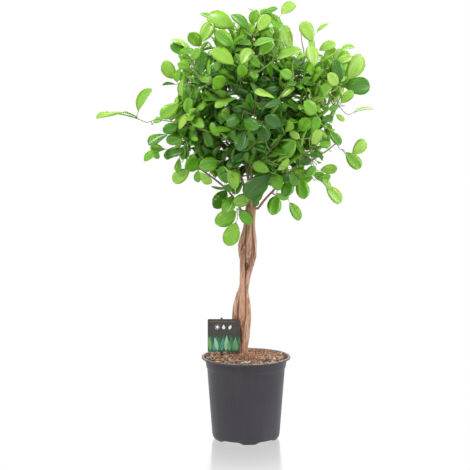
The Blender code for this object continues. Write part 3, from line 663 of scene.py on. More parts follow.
rng = random.Random(17)
fibre_lines, fibre_tones = [], []
for number in range(FIBRES):
    on_plug = number < PLUG_FIBRES
    if on_plug:
        turn, out = rng.uniform(0, 2 * math.pi), math.sqrt(rng.random())
        x = PLUG_MIDDLE.x + PLUG_REACH.x * 0.95 * out * math.cos(turn)
        y = PLUG_MIDDLE.y + PLUG_REACH.y * 0.95 * out * math.sin(turn)
    else:
        turn, out = rng.uniform(0, 2 * math.pi), math.sqrt(rng.random()) * 0.9
        x, y = SOIL_RADIUS * out * math.cos(turn), SOIL_RADIUS * out * math.sin(turn)
    heading = rng.uniform(0, 2 * math.pi)
    bend = rng.uniform(-0.5, 0.5)
    length = rng.uniform(5, 13) * MM if on_plug else rng.uniform(8, 22) * MM
    line = []
    for step in range(FIBRE_STEPS + 1):
        share = step / FIBRE_STEPS
        x += math.cos(heading) * length / FIBRE_STEPS
        y += math.sin(heading) * length / FIBRE_STEPS
        heading += bend
        if math.hypot(x, y) > SOIL_RADIUS - 2 * MM:
            break
        z = soil_height(x, y) + (1.6 * math.sin(math.pi * share) + 0.5) * MM
        z += rng.uniform(0.0, 1.4) * MM
        line.append(((x, y, z), (0.42 - 0.22 * abs(share - 0.4)) * MM))
    if len(line) > 2:
        fibre_lines.append(line)
        fibre_tones.append(rng.random() if on_plug else 0.4 + 0.6 * rng.random())
fibres_mesh = threads("coir_fibres", fibre_lines, 4, fibre_material, fibre_tones)
fibres = put_in_scene(fibres_mesh, "coir_fibres", fibre_material)
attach(fibres, "root")
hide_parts("soil")

# ------------------------------------------------------------------------- the stems
# Four rooted cuttings, plaited into one trunk while they were soft: pinkish tan bark with
# upright ridges, knots where leaves were cut off, and painted shade in the seams between the stems.

STEM_NAMES = ("stem_a", "stem_b", "stem_c", "stem_d")
STEM_KNOTS = 9
SEAM_LOOK = 0.006  # how far off the next stem is looked for
SEAM_SHADE = 0.0042  # bark that is nearer to the next stem than this gets painted shade
SEAM_PRESS = 0.0024  # and nearer than this, it bulges towards it


def smooth_copy(nodes, name, levels):
    """One smooth mesh from copies of faceted CAD nodes."""
    bm = bmesh.new()
    for node in nodes:
        bm.from_mesh(frame["nodes"][node].data)
    bmesh.ops.remove_doubles(bm, verts=bm.verts, dist=0.02 * MM)
    bmesh.ops.join_triangles(bm, faces=bm.faces, angle_face_threshold=math.radians(35),
                             angle_shape_threshold=math.radians(60))
    mesh = bpy.data.meshes.new(name)
    bm.to_mesh(mesh)
    bm.free()
    base = put_in_scene(mesh, name + "_base")
    rounding = base.modifiers.new("round", "SUBSURF")
    rounding.levels = rounding.render_levels = levels
    view_layer = bpy.context.evaluated_depsgraph_get()
    result = bpy.data.meshes.new_from_object(base.evaluated_get(view_layer))
    bpy.data.objects.remove(base, do_unlink=True)
    result.name = name
    return result


def add_relief(mesh, lift):
    """Move each vertex along its normal by what lift says of its place."""
    normals = [vert.normal.copy() for vert in mesh.vertices]
    for vert, normal in zip(mesh.vertices, normals):
        vert.co += normal * lift(vert.co)
    mesh.update()


def bark_lift(knots):
    """Relief of stem bark: swell, upright ridges and knots."""
    def lift(place):
        """How far the bark stands out at a place."""
        swell = noise.noise(Vector((place.x * 30, place.y * 30, place.z * 26))) * 0.7
        ridge = noise.noise(Vector((place.x * 420, place.y * 420, place.z * 34))) * 0.42
        rough = noise.noise(Vector((place.x * 700, place.y * 700, place.z * 260))) * 0.16
        total = 1.15 + swell + ridge + rough
        for knot, reach in knots:
            near = (place - knot).length / reach
            if near < 2:
                total += 1.1 * math.exp(-near * near * 2.2) - 0.9 * math.exp(-near * near * 14)
        return total * MM
    return lift


bark_material, tree, shader = start_material("stem_bark", 0.8)
upright = object_coords(tree, (1.0, 1.0, 0.09))
ridges = mottle(tree, upright, 260.0, 0.36, 0.66, 5.0)
patches = mottle(tree, object_coords(tree, (1.0, 1.0, 0.35)), 45.0, 0.32, 0.68)
dots = add(tree, "ShaderNodeTexVoronoi", {"Vector": object_coords(tree, (1.0, 1.0, 1.7)),
                                          "Scale": 210.0, "Randomness": 1.0})
spots = add(tree, "ShaderNodeMapRange", {"Value": dots.outputs["Distance"], "From Min": 0.10,
                                         "From Max": 0.24, "To Min": 1.0, "To Max": 0.0})
bark = blend_colours(tree, ridges, (0.20, 0.095, 0.052), (0.76, 0.515, 0.365))
bark = blend_colours(tree, scaled(tree, patches, 0.0, 0.60), bark, (0.58, 0.285, 0.170))
grooves = mottle(tree, object_coords(tree, (1.0, 1.0, 0.05)), 170.0, 0.55, 0.62, 2.0)
bark = blend_colours(tree, scaled(tree, grooves, 0.0, 0.50), bark, (0.15, 0.060, 0.030))
bark = blend_colours(tree, scaled(tree, spots.outputs["Result"], 0.0, 0.55), bark,
                     (0.70, 0.55, 0.42))
# Painted shade: the bark is darkened towards the seams between the stems.
bark = blend_colours(tree, kept_value(tree, "crevice"), bark, (0.190, 0.078, 0.036))
tree.links.new(bark, shader.inputs["Base Color"])
fine = mottle(tree, object_coords(tree, (1.0, 1.0, 0.3)), 1500.0, 0.3, 0.7, 3.0)
relief = bump(tree, ridges, 0.7 * MM, 0.9, bump(tree, fine, 0.15 * MM, 0.8))
tree.links.new(relief, shader.inputs["Normal"])
tree.links.new(scaled(tree, ridges, 0.9, 0.7), shader.inputs["Roughness"])

stem_meshes = {}
for number, name in enumerate(STEM_NAMES):
    rng = random.Random(50 + number)
    mesh = smooth_copy([name], name + "_bark", 3)
    knots = []
    for _ in range(STEM_KNOTS):
        vert = mesh.vertices[rng.randrange(len(mesh.vertices))]
        knots.append((vert.co.copy(), rng.uniform(2.6, 4.2) * MM))
    add_relief(mesh, bark_lift(knots))
    stem_meshes[name] = mesh
stem_trees = {name: BVHTree.FromPolygons([v.co for v in mesh.vertices],
                                         [p.vertices for p in mesh.polygons])
              for name, mesh in stem_meshes.items()}
for name, mesh in stem_meshes.items():
    others = [tree for other, tree in stem_trees.items() if other != name]
    # Painted shade near the next stem: how dark the bark is made, and how far it bulges there.
    depth, pushes = [], []
    for vert in mesh.vertices:
        near = min(other.find_nearest(vert.co, SEAM_LOOK)[3] or SEAM_LOOK for other in others)
        depth.append(max(1 - near / SEAM_SHADE, 0.0) * 0.95)
        pushes.append(0.55 * max(SEAM_PRESS - near, 0.0))
    normals = [vert.normal.copy() for vert in mesh.vertices]
    for vert, normal, push in zip(mesh.vertices, normals, pushes):
        vert.co += normal * push
    mesh.attributes.new("crevice", "FLOAT", "POINT").data.foreach_set("value", depth)
    stem = put_in_scene(mesh, name + "_bark", bark_material)
    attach(stem, "root")
    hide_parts(name)

# ---------------------------------------------------------------------- the branches
# The crown's wood: slim brown branches that fork from the tops of the stems, rounded and
# roughened a little, and paler low down, where they are as old as the stems.

BRANCH_NAMES = sorted(name for name in frame["nodes"] if name.startswith("branch_"))

wood_material, tree, shader = start_material("branch_bark", 0.75)
even = object_coords(tree)
streaks = mottle(tree, even, 320.0, 0.3, 0.7)
wood = blend_colours(tree, streaks, (0.085, 0.045, 0.028), (0.30, 0.18, 0.115))
heights = add(tree, "ShaderNodeSeparateXYZ", {"Vector": even})
low_down = add(tree, "ShaderNodeMapRange", {"Value": heights.outputs["Z"], "From Min": 0.56,
                                            "From Max": 0.70, "To Min": 0.65, "To Max": 0.0})
wood = blend_colours(tree, low_down.outputs["Result"], wood, (0.40, 0.24, 0.16))
tree.links.new(wood, shader.inputs["Base Color"])
tree.links.new(bump(tree, streaks, 0.3 * MM), shader.inputs["Normal"])

branches_mesh = smooth_copy(BRANCH_NAMES, "branches", 2)
add_relief(branches_mesh, lambda place: MM * (
    0.12 + 0.45 * noise.noise(place * 90) + 0.15 * noise.noise(place * 420)))
branches = put_in_scene(branches_mesh, "branches", wood_material)
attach(branches, "root")
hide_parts(*BRANCH_NAMES)

# ------------------------------------------------------------------------- the twigs
# Leafy twigs grow from the branches to the outside of the crown.  Each follows its CAD
# spray from seat to tip, forks once or twice, and bears leaves in a loose spiral.

SPRAY_NAMES = sorted(name for name in frame["nodes"] if name.startswith("spray_"))
CROWN_MIDDLE = Vector((0.027, 0.0, 0.787))
CROWN_DEPTH = 0.235  # from the middle of the crown to its front and back
CROWN_EDGE = (165, 220, 200, 155, 210, 200, 212, 202, 182, 205, 228, 205, 188, 168, 175, 188,
              200, 192)  # radius in millimetres, at even turns round from the right


def crown_share(place):
    """How far out a place lies: 0 in the middle of the crown, 1 at its edge."""
    away = place - CROWN_MIDDLE
    sides = len(CROWN_EDGE)
    turn = math.degrees(math.atan2(away.z, away.x)) % 360 / (360 / sides)
    low = int(turn) % sides
    after = (low + 1) % sides
    edge = CROWN_EDGE[low] + (CROWN_EDGE[after] - CROWN_EDGE[low]) * (turn - int(turn))
    flat = math.hypot(away.x, away.z) / (edge * MM)
    return math.hypot(flat, away.y / CROWN_DEPTH)


def curve_points(start, leave, arrive, end, count):
    """Points along a smooth curve from a start to an end."""
    points = []
    for step in range(count):
        t = step / (count - 1)
        points.append(start * (1 - t) ** 3 + leave * (3 * t * (1 - t) ** 2)
                      + arrive * (3 * t * t * (1 - t)) + end * t**3)
    return points


def point_at(points, wanted):
    """The point at a distance along a line, and the line's direction there."""
    for first, second in zip(points, points[1:]):
        step = (second - first).length
        if wanted <= step:
            return first.lerp(second, wanted / step), (second - first).normalized()
        wanted -= step
    return points[-1], (points[-1] - points[-2]).normalized()


def length_of(points):
    """Length of a line of points."""
    return sum((second - first).length for first, second in zip(points, points[1:]))


crown_points, crown_faces = [], []
for name in BRANCH_NAMES + list(STEM_NAMES):
    first = len(crown_points)
    crown_points += [vert.co.copy() for vert in frame["nodes"][name].data.vertices]
    crown_faces += [tuple(first + index for index in face.vertices)
                    for face in frame["nodes"][name].data.polygons]
crown_wood = BVHTree.FromPolygons(crown_points, crown_faces)


def seat_and_tip(name):
    """Where a CAD spray leaves its branch, which way, and the far end of its last leaf."""
    points = [vert.co.copy() for vert in frame["nodes"][name].data.vertices]
    found = [(crown_wood.find_nearest(point)[3], number) for number, point in enumerate(points)]
    nearest = min(found)[0]
    seats = [points[number] for distance, number in found if distance < nearest + 0.1 * MM]
    seat = sum(seats, Vector()) / len(seats)
    return seat, crown_wood.find_nearest(seat)[1], max(points, key=lambda p: (p - seat).length)


twig_lines, twig_tones, twig_parents, shoots, wood_places = [], [], [], [], []
borne = {}  # how far along each twig, as a share of it, its last leaf or side twig is


def bear(twig, share):
    """Note that a twig bears something, and how far along."""
    borne[twig] = max(borne.get(twig, 0.0), share)


def add_twig(points, start_radius, end_radius, tone, parent=None):
    """Note a twig's wood, so that other twigs may fork from it, and number it.  Its tone
    runs from 0, brown, to 1, green.  Its parent is the twig that it forks from, if any,
    and how far along."""
    count = len(points) - 1
    number = len(twig_lines)
    twig_lines.append([(point, start_radius + (end_radius - start_radius) * step / count)
                       for step, point in enumerate(points)])
    twig_tones.append(tone)
    twig_parents.append(parent)
    wood_places.extend((point, (number, (step + 1) / count))
                       for step, point in enumerate(points[1:]))
    return number


rng = random.Random(2)
for name in SPRAY_NAMES:
    seat, normal, tip = seat_and_tip(name)
    reach = (tip - seat).normalized()
    share = crown_share(tip)
    end = tip - reach * 42 * MM
    if share > 1.15:
        end = seat.lerp(end, min(0.95 / share, 1.0))
    span = (end - seat).length
    arrive = end - (reach + 0.35 * UP).normalized() * (0.35 * span)
    main = curve_points(seat - normal * 1.2 * MM, seat + normal * (0.30 * span), arrive, end, 22)
    main_number = add_twig(main, 1.8 * MM, 0.9 * MM, 0.35)
    shoots.append((main_number, main, 0.18 * span))
    for fork in range(3 if span > 0.075 else 2):
        fork_share = 0.22 + 0.24 * fork + rng.uniform(-0.05, 0.05)
        place, along = point_at(main, span * fork_share)
        outward = (place - CROWN_MIDDLE).normalized()
        swing = 1 if (fork + len(name)) % 2 else -1
        sideways = along.cross(outward).normalized() * swing
        heading = (along * 0.7 + sideways * rng.uniform(0.75, 1.1) + outward * 0.35
                   + UP * rng.uniform(-0.25, 0.3)).normalized()
        length = rng.uniform(0.42, 0.66) * max(span, 0.07)
        finish = place + heading * length
        side = curve_points(place, place + heading * length * 0.35 + sideways * 0.006,
                            finish - (heading + 0.4 * UP).normalized() * length * 0.3, finish, 12)
        side_number = add_twig(side, 1.1 * MM, 0.8 * MM, 0.65, (main_number, fork_share))
        shoots.append((side_number, side, 9 * MM))

# ------------------------------------------------------------------------ the leaves
# Leathery oval leaves on short stalks: glossy above with a pale midrib, duller below,
# lime green while young at the ends of the twigs, dark green inside the crown, and painted
# darker still, as shade, low in the middle and in the heart of the crown.

LEAF_ROWS = ((0.0, 0.05), (0.07, 0.28), (0.18, 0.56), (0.35, 0.85), (0.57, 1.00), (0.75, 0.95),
             (0.89, 0.70), (0.96, 0.43))  # how wide the blade is, at shares of its length
STALK = 0.15  # length of the stalk, as a share of the leaf's


def leaf_shape(number, width, fold, droop, wave, twist):
    """A leaf one unit long, along +Y, facing +Z: a thin closed blade and its stalk."""
    bm = bmesh.new()
    across = bm.verts.layers.float.new("across")
    along = bm.verts.layers.float.new("along")
    under = bm.verts.layers.float.new("under")
    blade = 1 - STALK

    def vertex(column, share, wide, lift, below):
        """A point of the blade, at a share of its length, across it and above it."""
        half = 0.5 * width * wide * column
        ripple = wave * math.sin(share * 9 + column * 1.4) * abs(column)
        z = fold * abs(half) - droop * share * share + ripple + lift
        turn = twist * share
        x, z = half * math.cos(turn), z + half * math.sin(turn)
        new = bm.verts.new((x * blade, STALK + blade * share * (1 - abs(droop) * 0.3), z * blade))
        new[across], new[along], new[under] = column, share, below
        return new

    top, bottom = [], []
    for share, wide in LEAF_ROWS:
        upper = [vertex(column, share, wide, 0.0 if abs(column) == 1 else 0.005, 0.0)
                 for column in (-1.0, -0.45, 0.0, 0.45, 1.0)]
        top.append(upper)
        bottom.append([upper[0], vertex(0.0, share, wide, -0.010, 1.0), upper[4]])
    tip = vertex(0.0, 1.0, 0.0, 0.0, 0.0)
    for sheet in (top, bottom):
        for first, second in zip(sheet, sheet[1:]):
            for column in range(len(first) - 1):
                bm.faces.new((first[column], first[column + 1], second[column + 1],
                              second[column]))
        for column in range(len(sheet[-1]) - 1):
            bm.faces.new((sheet[-1][column], sheet[-1][column + 1], tip))
    bm.faces.new(top[0] + [bottom[0][1]])
    stalk = []
    for y, z, radius in ((0.0, 0.0, 0.015), (0.5 * STALK, 0.012, 0.011), (STALK + 0.04, 0.0, 0.010)):
        ring = []
        for step in range(4):
            turn = math.pi / 2 * step
            new = bm.verts.new((radius * math.cos(turn), y, z + radius * math.sin(turn)))
            new[across], new[along], new[under] = 0.0, 0.0, 0.0
            ring.append(new)
        stalk.append(ring)
    for first, second in zip(stalk, stalk[1:]):
        for step in range(4):
            bm.faces.new((first[(step + 1) % 4], first[step], second[step], second[(step + 1) % 4]))
    bm.faces.new(stalk[0])
    bm.faces.new(reversed(stalk[-1]))
    bmesh.ops.recalc_face_normals(bm, faces=bm.faces)
    mesh = bpy.data.meshes.new(f"leaf_shape_{number}")
    bm.to_mesh(mesh)
    bm.free()
    return mesh


leaf_shapes = hidden_collection("leaf_shapes", [
    leaf_shape(0, 0.61, 0.36, 0.10, 0.010, 0.05),
    leaf_shape(1, 0.53, 0.42, 0.20, 0.014, 0.22),
    leaf_shape(2, 0.65, 0.30, 0.24, 0.016, -0.28),
    leaf_shape(3, 0.52, 0.60, 0.14, 0.012, 0.12),
    leaf_shape(4, 0.61, 0.42, -0.10, 0.018, 0.34),
    leaf_shape(5, 0.56, 0.34, 0.36, 0.014, -0.16),
])
LEAF_KINDS = len(leaf_shapes.objects)
BROAD_KINDS = (0, 2, 4)


def leaf_card(foot, heading, normal, size):
    """A flat stand-in for a leaf, to test that it is clear of the others."""
    side = heading.cross(normal).normalized() * (0.25 * size)
    corners = [foot + heading * (0.16 * size), foot + heading * (0.55 * size) + side,
               foot + heading * (0.85 * size) + side * 0.7, foot + heading * size,
               foot + heading * (0.85 * size) - side * 0.7, foot + heading * (0.55 * size) - side]
    return BVHTree.FromPolygons(corners, [(0, 1, 5), (1, 2, 4, 5), (2, 3, 4)]), corners


class Crown:
    """The leaves that are placed so far, in cells so that near ones are found fast."""

    CELL = 0.06
    NEAR = 0.075  # leaves further apart than this, as seen from the front, don't overlap

    def __init__(self):
        """No leaves yet: cards by cell, all leaves, and the show leaves' outlines."""
        self.cells = {}
        self.leaves = []
        self.shown = []

    def clear(self, card, middle):
        """Whether a leaf's card cuts none of the leaves around it."""
        x, y, z = (math.floor(value / self.CELL) for value in middle)
        for a in (-1, 0, 1):
            for b in (-1, 0, 1):
                for c in (-1, 0, 1):
                    for other in self.cells.get((x + a, y + b, z + c), ()):
                        if card.overlap(other):
                            return False
        return True

    def shades(self, card, middle):
        """Whether a leaf's card hangs in front of one of the show leaves."""
        for other_middle, corners in self.shown:
            if math.hypot(other_middle.x - middle.x, other_middle.z - middle.z) > self.NEAR:
                continue
            for corner in corners:
                inner = corner.lerp(other_middle, 0.25)
                if card.ray_cast(inner, CAMERA_PLACE - inner)[0]:
                    return True
        return False

    def place(self, card, middle, leaf):
        """Keep a leaf."""
        key = tuple(math.floor(value / self.CELL) for value in middle)
        self.cells.setdefault(key, []).append(card)
        self.leaves.append(leaf)


crown = Crown()

# The show leaves of the front and the outline.  Each is given by the foot of its stalk,
# across and up, in millimetres; the way it points, in degrees up from the right; its
# length; how far it is turned on edge, or if negative tipped to the front; and its youth.
SHOW_LEAVES = {
    "far left": (
        (-279, 774, 198, 74, 104, 0.88), (-240, 752, 160, 66, 100, 0.40),
        (-254, 761, 74, 78, 74, 0.72), (-220, 745, 30, 30, 30, 0.70)),
    "left edge": (
        (-161, 843, 124, 59, -20, 0.85), (-158, 836, 178, 38, 85, 0.15),
        (-145, 855, 255, 50, 60, 0.75), (-150, 880, 250, 40, 40, 0.55), (-148, 797, 215, 64, 0, 0.75),
        (-120, 775, 220, 60, 50, 0.90), (-176, 724, 211, 60, 60, 0.34),
        (-185, 685, 175, 40, 30, 0.70), (-191, 688, 208, 57, 60, 0.60),
        (-140, 706, 178, 48, 10, 0.45), (-138, 685, 195, 40, 20, 0.30), (-150, 655, 80, 40, 30, 0.40),
        (-214, 690, 285, 30, 10, 0.50), (-148, 682, 190, 44, 10, 0.25),
        (-155, 672, 270, 40, 50, 0.50), (-124, 645, 216, 60, 6, 0.88),
        (-105, 667, 215, 65, -50, 0.47), (-150, 745, 200, 50, -20, 0.35),
        (-155, 765, 175, 45, 30, 0.55), (-164, 697, 240, 42, 40, 0.35),
        (-115, 920, 200, 50, 30, 0.50), (-118, 893, 172, 38, 10, 0.70),
        (-148, 832, 85, 36, 20, 0.60)),
    "upper left": (
        (-19, 963, 153, 83, 18, 0.82), (-108, 926, 62, 63, 4, 0.86),
        (-74, 984, 147, 38, 50, 0.55), (-99, 920, 134, 60, -33, 0.78),
        (-124, 915, 147, 60, 64, 0.85), (-130, 898, 144, 56, 34, 0.40),
        (-130, 890, 50, 45, -40, 0.70), (-125, 875, 165, 40, -30, 0.80),
        (-120, 855, 145, 40, -30, 0.80), (-108, 850, 83, 66, 0, 0.32),
        (-20, 876, 144, 74, 22, 0.84), (-27, 920, 140, 67, -38, 0.58),
        (-45, 835, 155, 65, -60, 0.65), (-85, 850, 85, 45, 60, 0.60)),
    "top": (
        (22, 953, 56, 57, 10, 0.90), (10, 957, 131, 64, 40, 0.42),
        (15, 940, 120, 55, 50, 0.75), (-5, 925, 85, 45, 30, 0.70),
        (10, 970, 70, 45, -30, 0.75), (24, 994, 128, 28, 75, 0.35),
        (37, 1000, 14, 38, 40, 0.45), (68, 986, 150, 42, 20, 0.70), (49, 1008, 301, 54, 25, 0.62),
        (75, 940, 190, 60, 70, 0.55), (96, 916, 107, 60, 58, 0.74),
        (76, 992, 46, 51, 35, 1.00), (25, 900, 45, 50, 30, 0.70),
        (-15, 875, 65, 55, 30, 0.90), (35, 870, 130, 45, 0, 0.50),
        (-5, 850, 105, 50, -50, 0.65), (60, 890, 25, 75, 66, 0.75),
        (110, 895, 15, 30, 60, 0.75)),
    "upper right": (
        (212, 831, 128, 54, -50, 1.00), (217, 830, 4, 77, 10, 0.25),
        (219, 834, 105, 66, -25, 0.15), (229, 838, 59, 82, 10, 0.85),
        (158, 927, 118, 63, 5, 0.92), (158, 952, 40, 42, 74, 0.80),
        (157, 869, 97, 62, 10, 0.95), (162, 912, 25, 50, 25, 0.90),
        (175, 890, 45, 45, 30, 0.85), (213, 912, 27, 42, 72, 0.70),
        (203, 884, 22, 45, 0, 0.95), (214, 789, 42, 48, 10, 0.75),
        (215, 845, 85, 80, 10, 0.80), (205, 850, 60, 75, 30, 0.70), (205, 830, 15, 50, 30, 0.45),
        (212, 832, 72, 62, 10, 0.50),
        (110, 850, 150, 50, -50, 0.60), (75, 805, 30, 45, 40, 0.90),
        (75, 803, 170, 60, 88, 0.88)),
    "right": (
        (220, 790, 210, 30, 30, 0.30), (205, 770, 320, 30, 20, 0.85),
        (240, 767, 24, 60, 104, 0.70), (165, 765, 135, 60, -50, 0.60),
        (170, 750, 20, 35, 20, 0.15), (190, 733, 308, 48, 20, 0.35),
        (155, 720, 75, 45, 0, 0.50), (120, 725, 55, 60, -40, 0.55),
        (129, 708, 145, 36, -20, 0.85), (150, 692, 62, 48, -20, 1.00), (152, 905, 95, 40, 50, 0.85),
        (120, 715, 230, 65, -10, 0.52), (242, 669, 45, 57, 5, 0.84),
        (226, 686, 312, 61, 5, 0.62), (150, 685, 330, 40, 80, 0.10)),
    "middle": (
        (-15, 810, 210, 65, 84, 0.75), (-10, 760, 325, 65, -40, 0.25),
        (-10, 770, 220, 55, -40, 0.20), (-50, 760, 305, 50, 30, 0.30),
        (85, 735, 145, 65, -40, 0.05), (35, 780, 25, 50, 40, 0.10),
        (0, 735, 250, 62, -30, 0.10), (-28, 748, 295, 62, -40, 0.14), (25, 752, 300, 58, -30, 0.08)),
    "lower": (
        (-60, 660, 195, 65, -40, 0.55), (-112, 638, 312, 46, 30, 0.86),
        (-25, 583, 95, 60, 0, 0.80), (61, 631, 155, 52, 10, 0.66),
        (68, 634, 38, 46, 35, 0.84), (60, 635, 295, 55, -40, 0.55),
        (66, 638, 222, 96, 0, 0.12), (125, 627, 280, 63, -30, 0.57),
        (105, 620, 250, 55, -40, 0.35), (105, 640, 340, 45, 50, 0.65),
        (120, 650, 25, 35, 20, 0.00), (166, 637, 5, 48, 8, 0.86),
        (165, 650, 225, 40, -40, 0.45), (163, 622, 188, 44, 30, 0.45), (175, 625, 300, 40, 40, 0.80),
        (180, 607, 313, 64, 30, 0.84), (160, 614, 15, 40, 30, 0.55), (65, 585, 335, 40, 30, 0.60),
        (72, 585, 256, 66, -42, 0.50), (98, 570, 296, 58, 25, 0.60),
        (95, 625, 200, 50, 10, 0.20), (45, 590, 215, 45, 10, 0.15), (95, 635, 310, 45, 20, 0.35),
        (125, 622, 185, 48, 10, 0.25), (145, 632, 200, 45, 30, 0.40),
        (-18, 615, 170, 45, 30, 0.30), (-12, 600, 185, 42, 10, 0.25),
        (140, 672, 5, 34, 10, 0.45)),
    "lowest": (
        (17, 573, 187, 62, -40, 0.76), (-26, 583, 240, 58, -35, 0.56),
        (-40, 598, 233, 66, -20, 0.28), (-22, 548, 318, 54, -25, 0.50),
        (-15, 546, 211, 70, -22, 0.66), (-20, 525, 250, 72, -12, 0.71),
        (-35, 597, 180, 48, 90, 0.30), (-6, 615, 235, 42, 20, 0.25),
        (165, 697, 5, 34, 20, 0.50), (150, 628, 350, 38, 20, 0.50),
        (-138, 704, 265, 42, 20, 0.35), (-111, 642, 262, 36, 20, 0.50),
        (12, 587, 288, 40, 10, 0.28)),
}
# Bare stretches of twig that lead to the outermost leaves, across and up, in millimetres.
BARE_TWIGS = ((-165, 727), (-190, 731), (-216, 742), (-235, 750), (195, 692), (220, 685),
              (150, 643), (-20, 555), (-22, 530), (215, 785), (150, 900), (85, 975), (74, 598))
FRONT = Vector((0.0, -1.0, 0.0))
FRONT_RADIUS, FRONT_DEPTH = 0.225, 0.9  # of the crown's front; 1.0 would be as deep as a ball
LOWEST_DEPTH = 45 * MM  # how far in front of the trunk the lowest leaves hang, at least
SHOW_TRIES, SHOW_STEP = 16, 6 * MM  # places, one behind the other, that a show leaf may take


def front_depth(x, z, way, length):
    """Depth of the crown's front surface behind the middle of a leaf."""
    x += 0.5 * length * math.cos(way) - CROWN_MIDDLE.x
    z += 0.5 * length * math.sin(way) - CROWN_MIDDLE.z
    depth = FRONT_DEPTH * math.sqrt(max(FRONT_RADIUS**2 - x * x - z * z, 0.0))
    in_front_of_trunk = LOWEST_DEPTH if abs(x) < 0.07 and z < -0.17 else 0.0
    return -max(depth, in_front_of_trunk)


def sighted(x, z, depth):
    """The place at a depth that looks, from the front, to lie at x and z of the middle
    plane, and how much a leaf there shrinks to look as long as one in that plane."""
    share = 1 - depth / CAMERA_PLACE.y
    return CAMERA_PLACE.lerp(Vector((x, 0.0, z)), share), share


def show_leaf(entry, push, forward, roll):
    """A show leaf's foot, heading, normal, size and youth, pushed back by so much."""
    x, z, way, size, turn, youth = entry
    x, z, way, size = x * MM, z * MM, math.radians(way), size * MM
    tip_down = math.radians(-min(turn, 0))
    foot, shrink = sighted(x, z, front_depth(x, z, way, size * math.cos(tip_down)) + push)
    size *= shrink
    heading = Vector((math.cos(way), 0.0, math.sin(way))) * math.cos(tip_down)
    heading += FRONT * math.sin(tip_down)
    heading = (heading + FRONT * forward).normalized()
    face = (FRONT - heading * FRONT.dot(heading)).normalized()
    edge = heading.cross(face)
    outward = (foot - CROWN_MIDDLE).normalized() + UP * 0.8
    if edge.dot(outward) < 0:
        edge = -edge
    roll += math.radians(0.8 * max(turn, 0))
    return foot, heading, face * math.cos(roll) + edge * math.sin(roll), size, youth


feet = [(Vector((x * MM, 0.0, z * MM)), None) for x, z in BARE_TWIGS]
for group, entries in enumerate(SHOW_LEAVES.values()):
    for number, entry in enumerate(entries):
        rng = random.Random(31 + 50 * group + number)
        start = rng.uniform(-0.02, 0.02)
        forward, roll = rng.uniform(-0.06, 0.06), math.radians(rng.uniform(0, 6))
        kind = rng.choice(BROAD_KINDS)
        for step in range(SHOW_TRIES):
            leaf = (*show_leaf(entry, start + SHOW_STEP * step, forward, roll), kind)
            foot, heading, normal, size = leaf[:4]
            card, corners = leaf_card(foot, heading, normal, size)
            middle = foot + heading * (0.6 * size)
            if crown.clear(card, middle) and not crown.shades(card, middle):
                break
        crown.place(card, middle, leaf)
        crown.shown.append((middle, corners))
        feet.append((foot, heading))


def nearest_wood(place):
    """The nearest point of branch, stem or twig that lies further in than a place, how
    far it is, and which twig it is on, if any, and how far along."""
    nearest, _, _, distance = crown_wood.find_nearest(place)
    parent = None
    out = (place - CROWN_MIDDLE).length
    for other, on_twig in wood_places:
        away = (other - place).length
        if away < distance and (other - CROWN_MIDDLE).length < out + 4 * MM:
            nearest, distance, parent = other, away, on_twig
    return nearest.copy(), distance, parent


for foot, heading in sorted(feet, key=lambda item: (item[0] - CROWN_MIDDLE).length):
    start, distance, parent = nearest_wood(foot)
    if distance < 1 * MM:
        if parent:
            bear(*parent)
        continue
    arrive = foot - (foot - start) * 0.3 - UP * 0.12 * distance
    if heading:
        arrive -= heading * 0.15 * distance
    line = curve_points(start, start.lerp(foot, 0.3) + UP * 0.05 * distance, arrive, foot,
                        4 + int(distance / (8 * MM)))
    twig = add_twig(line, 0.9 * MM + min(distance * 0.006, 0.8 * MM), 0.8 * MM, 0.65, parent)
    if heading:
        bear(twig, 1.0)

# Openings through the crown, where the light comes between the leaves from behind:
# across and up, and radius, in millimetres.
OPENINGS = ((-60, 706, 13), (-5, 643, 12), (-7, 622, 8), (-54, 660, 9), (-100, 815, 6),
            (65, 795, 6), (42, 855, 7), (144, 808, 10), (118, 803, 6), (190, 800, 11),
            (212, 745, 14), (-135, 682, 8), (-186, 745, 10), (172, 664, 14),
            (-107, 929, 11), (-82, 928, 11), (-50, 962, 7), (82, 894, 6), (150, 668, 8),
            (-170, 705, 8), (200, 710, 12), (98, 646, 7), (142, 641, 8), (112, 934, 7),
            (190, 686, 7), (-95, 930, 8), (-65, 612, 10), (193, 773, 6))
opening_rays = []
for x, z, radius in OPENINGS:
    for across, up in ((0, 0), (1, 0), (-1, 0), (0, 1), (0, -1)):
        through = Vector(((x + across * radius) * MM, 0.0, (z + up * radius) * MM))
        opening_rays.append((through - CAMERA_PLACE).normalized())


def blocks_opening(card):
    """Whether a leaf's card hangs in one of the openings."""
    return any(card.ray_cast(CAMERA_PLACE, ray)[0] for ray in opening_rays)


LEAF_STEP = 11.5 * MM  # from one leaf on a twig to the next
GROW_TRIES = 9
TRY_SWING, TRY_SHRINK = 13, 0.035  # degrees, and share of the size, for each new try
FACE_UP, FACE_OUT, FACE_CHANCE = 0.70, 0.40, 0.42  # what leaves turn their faces to


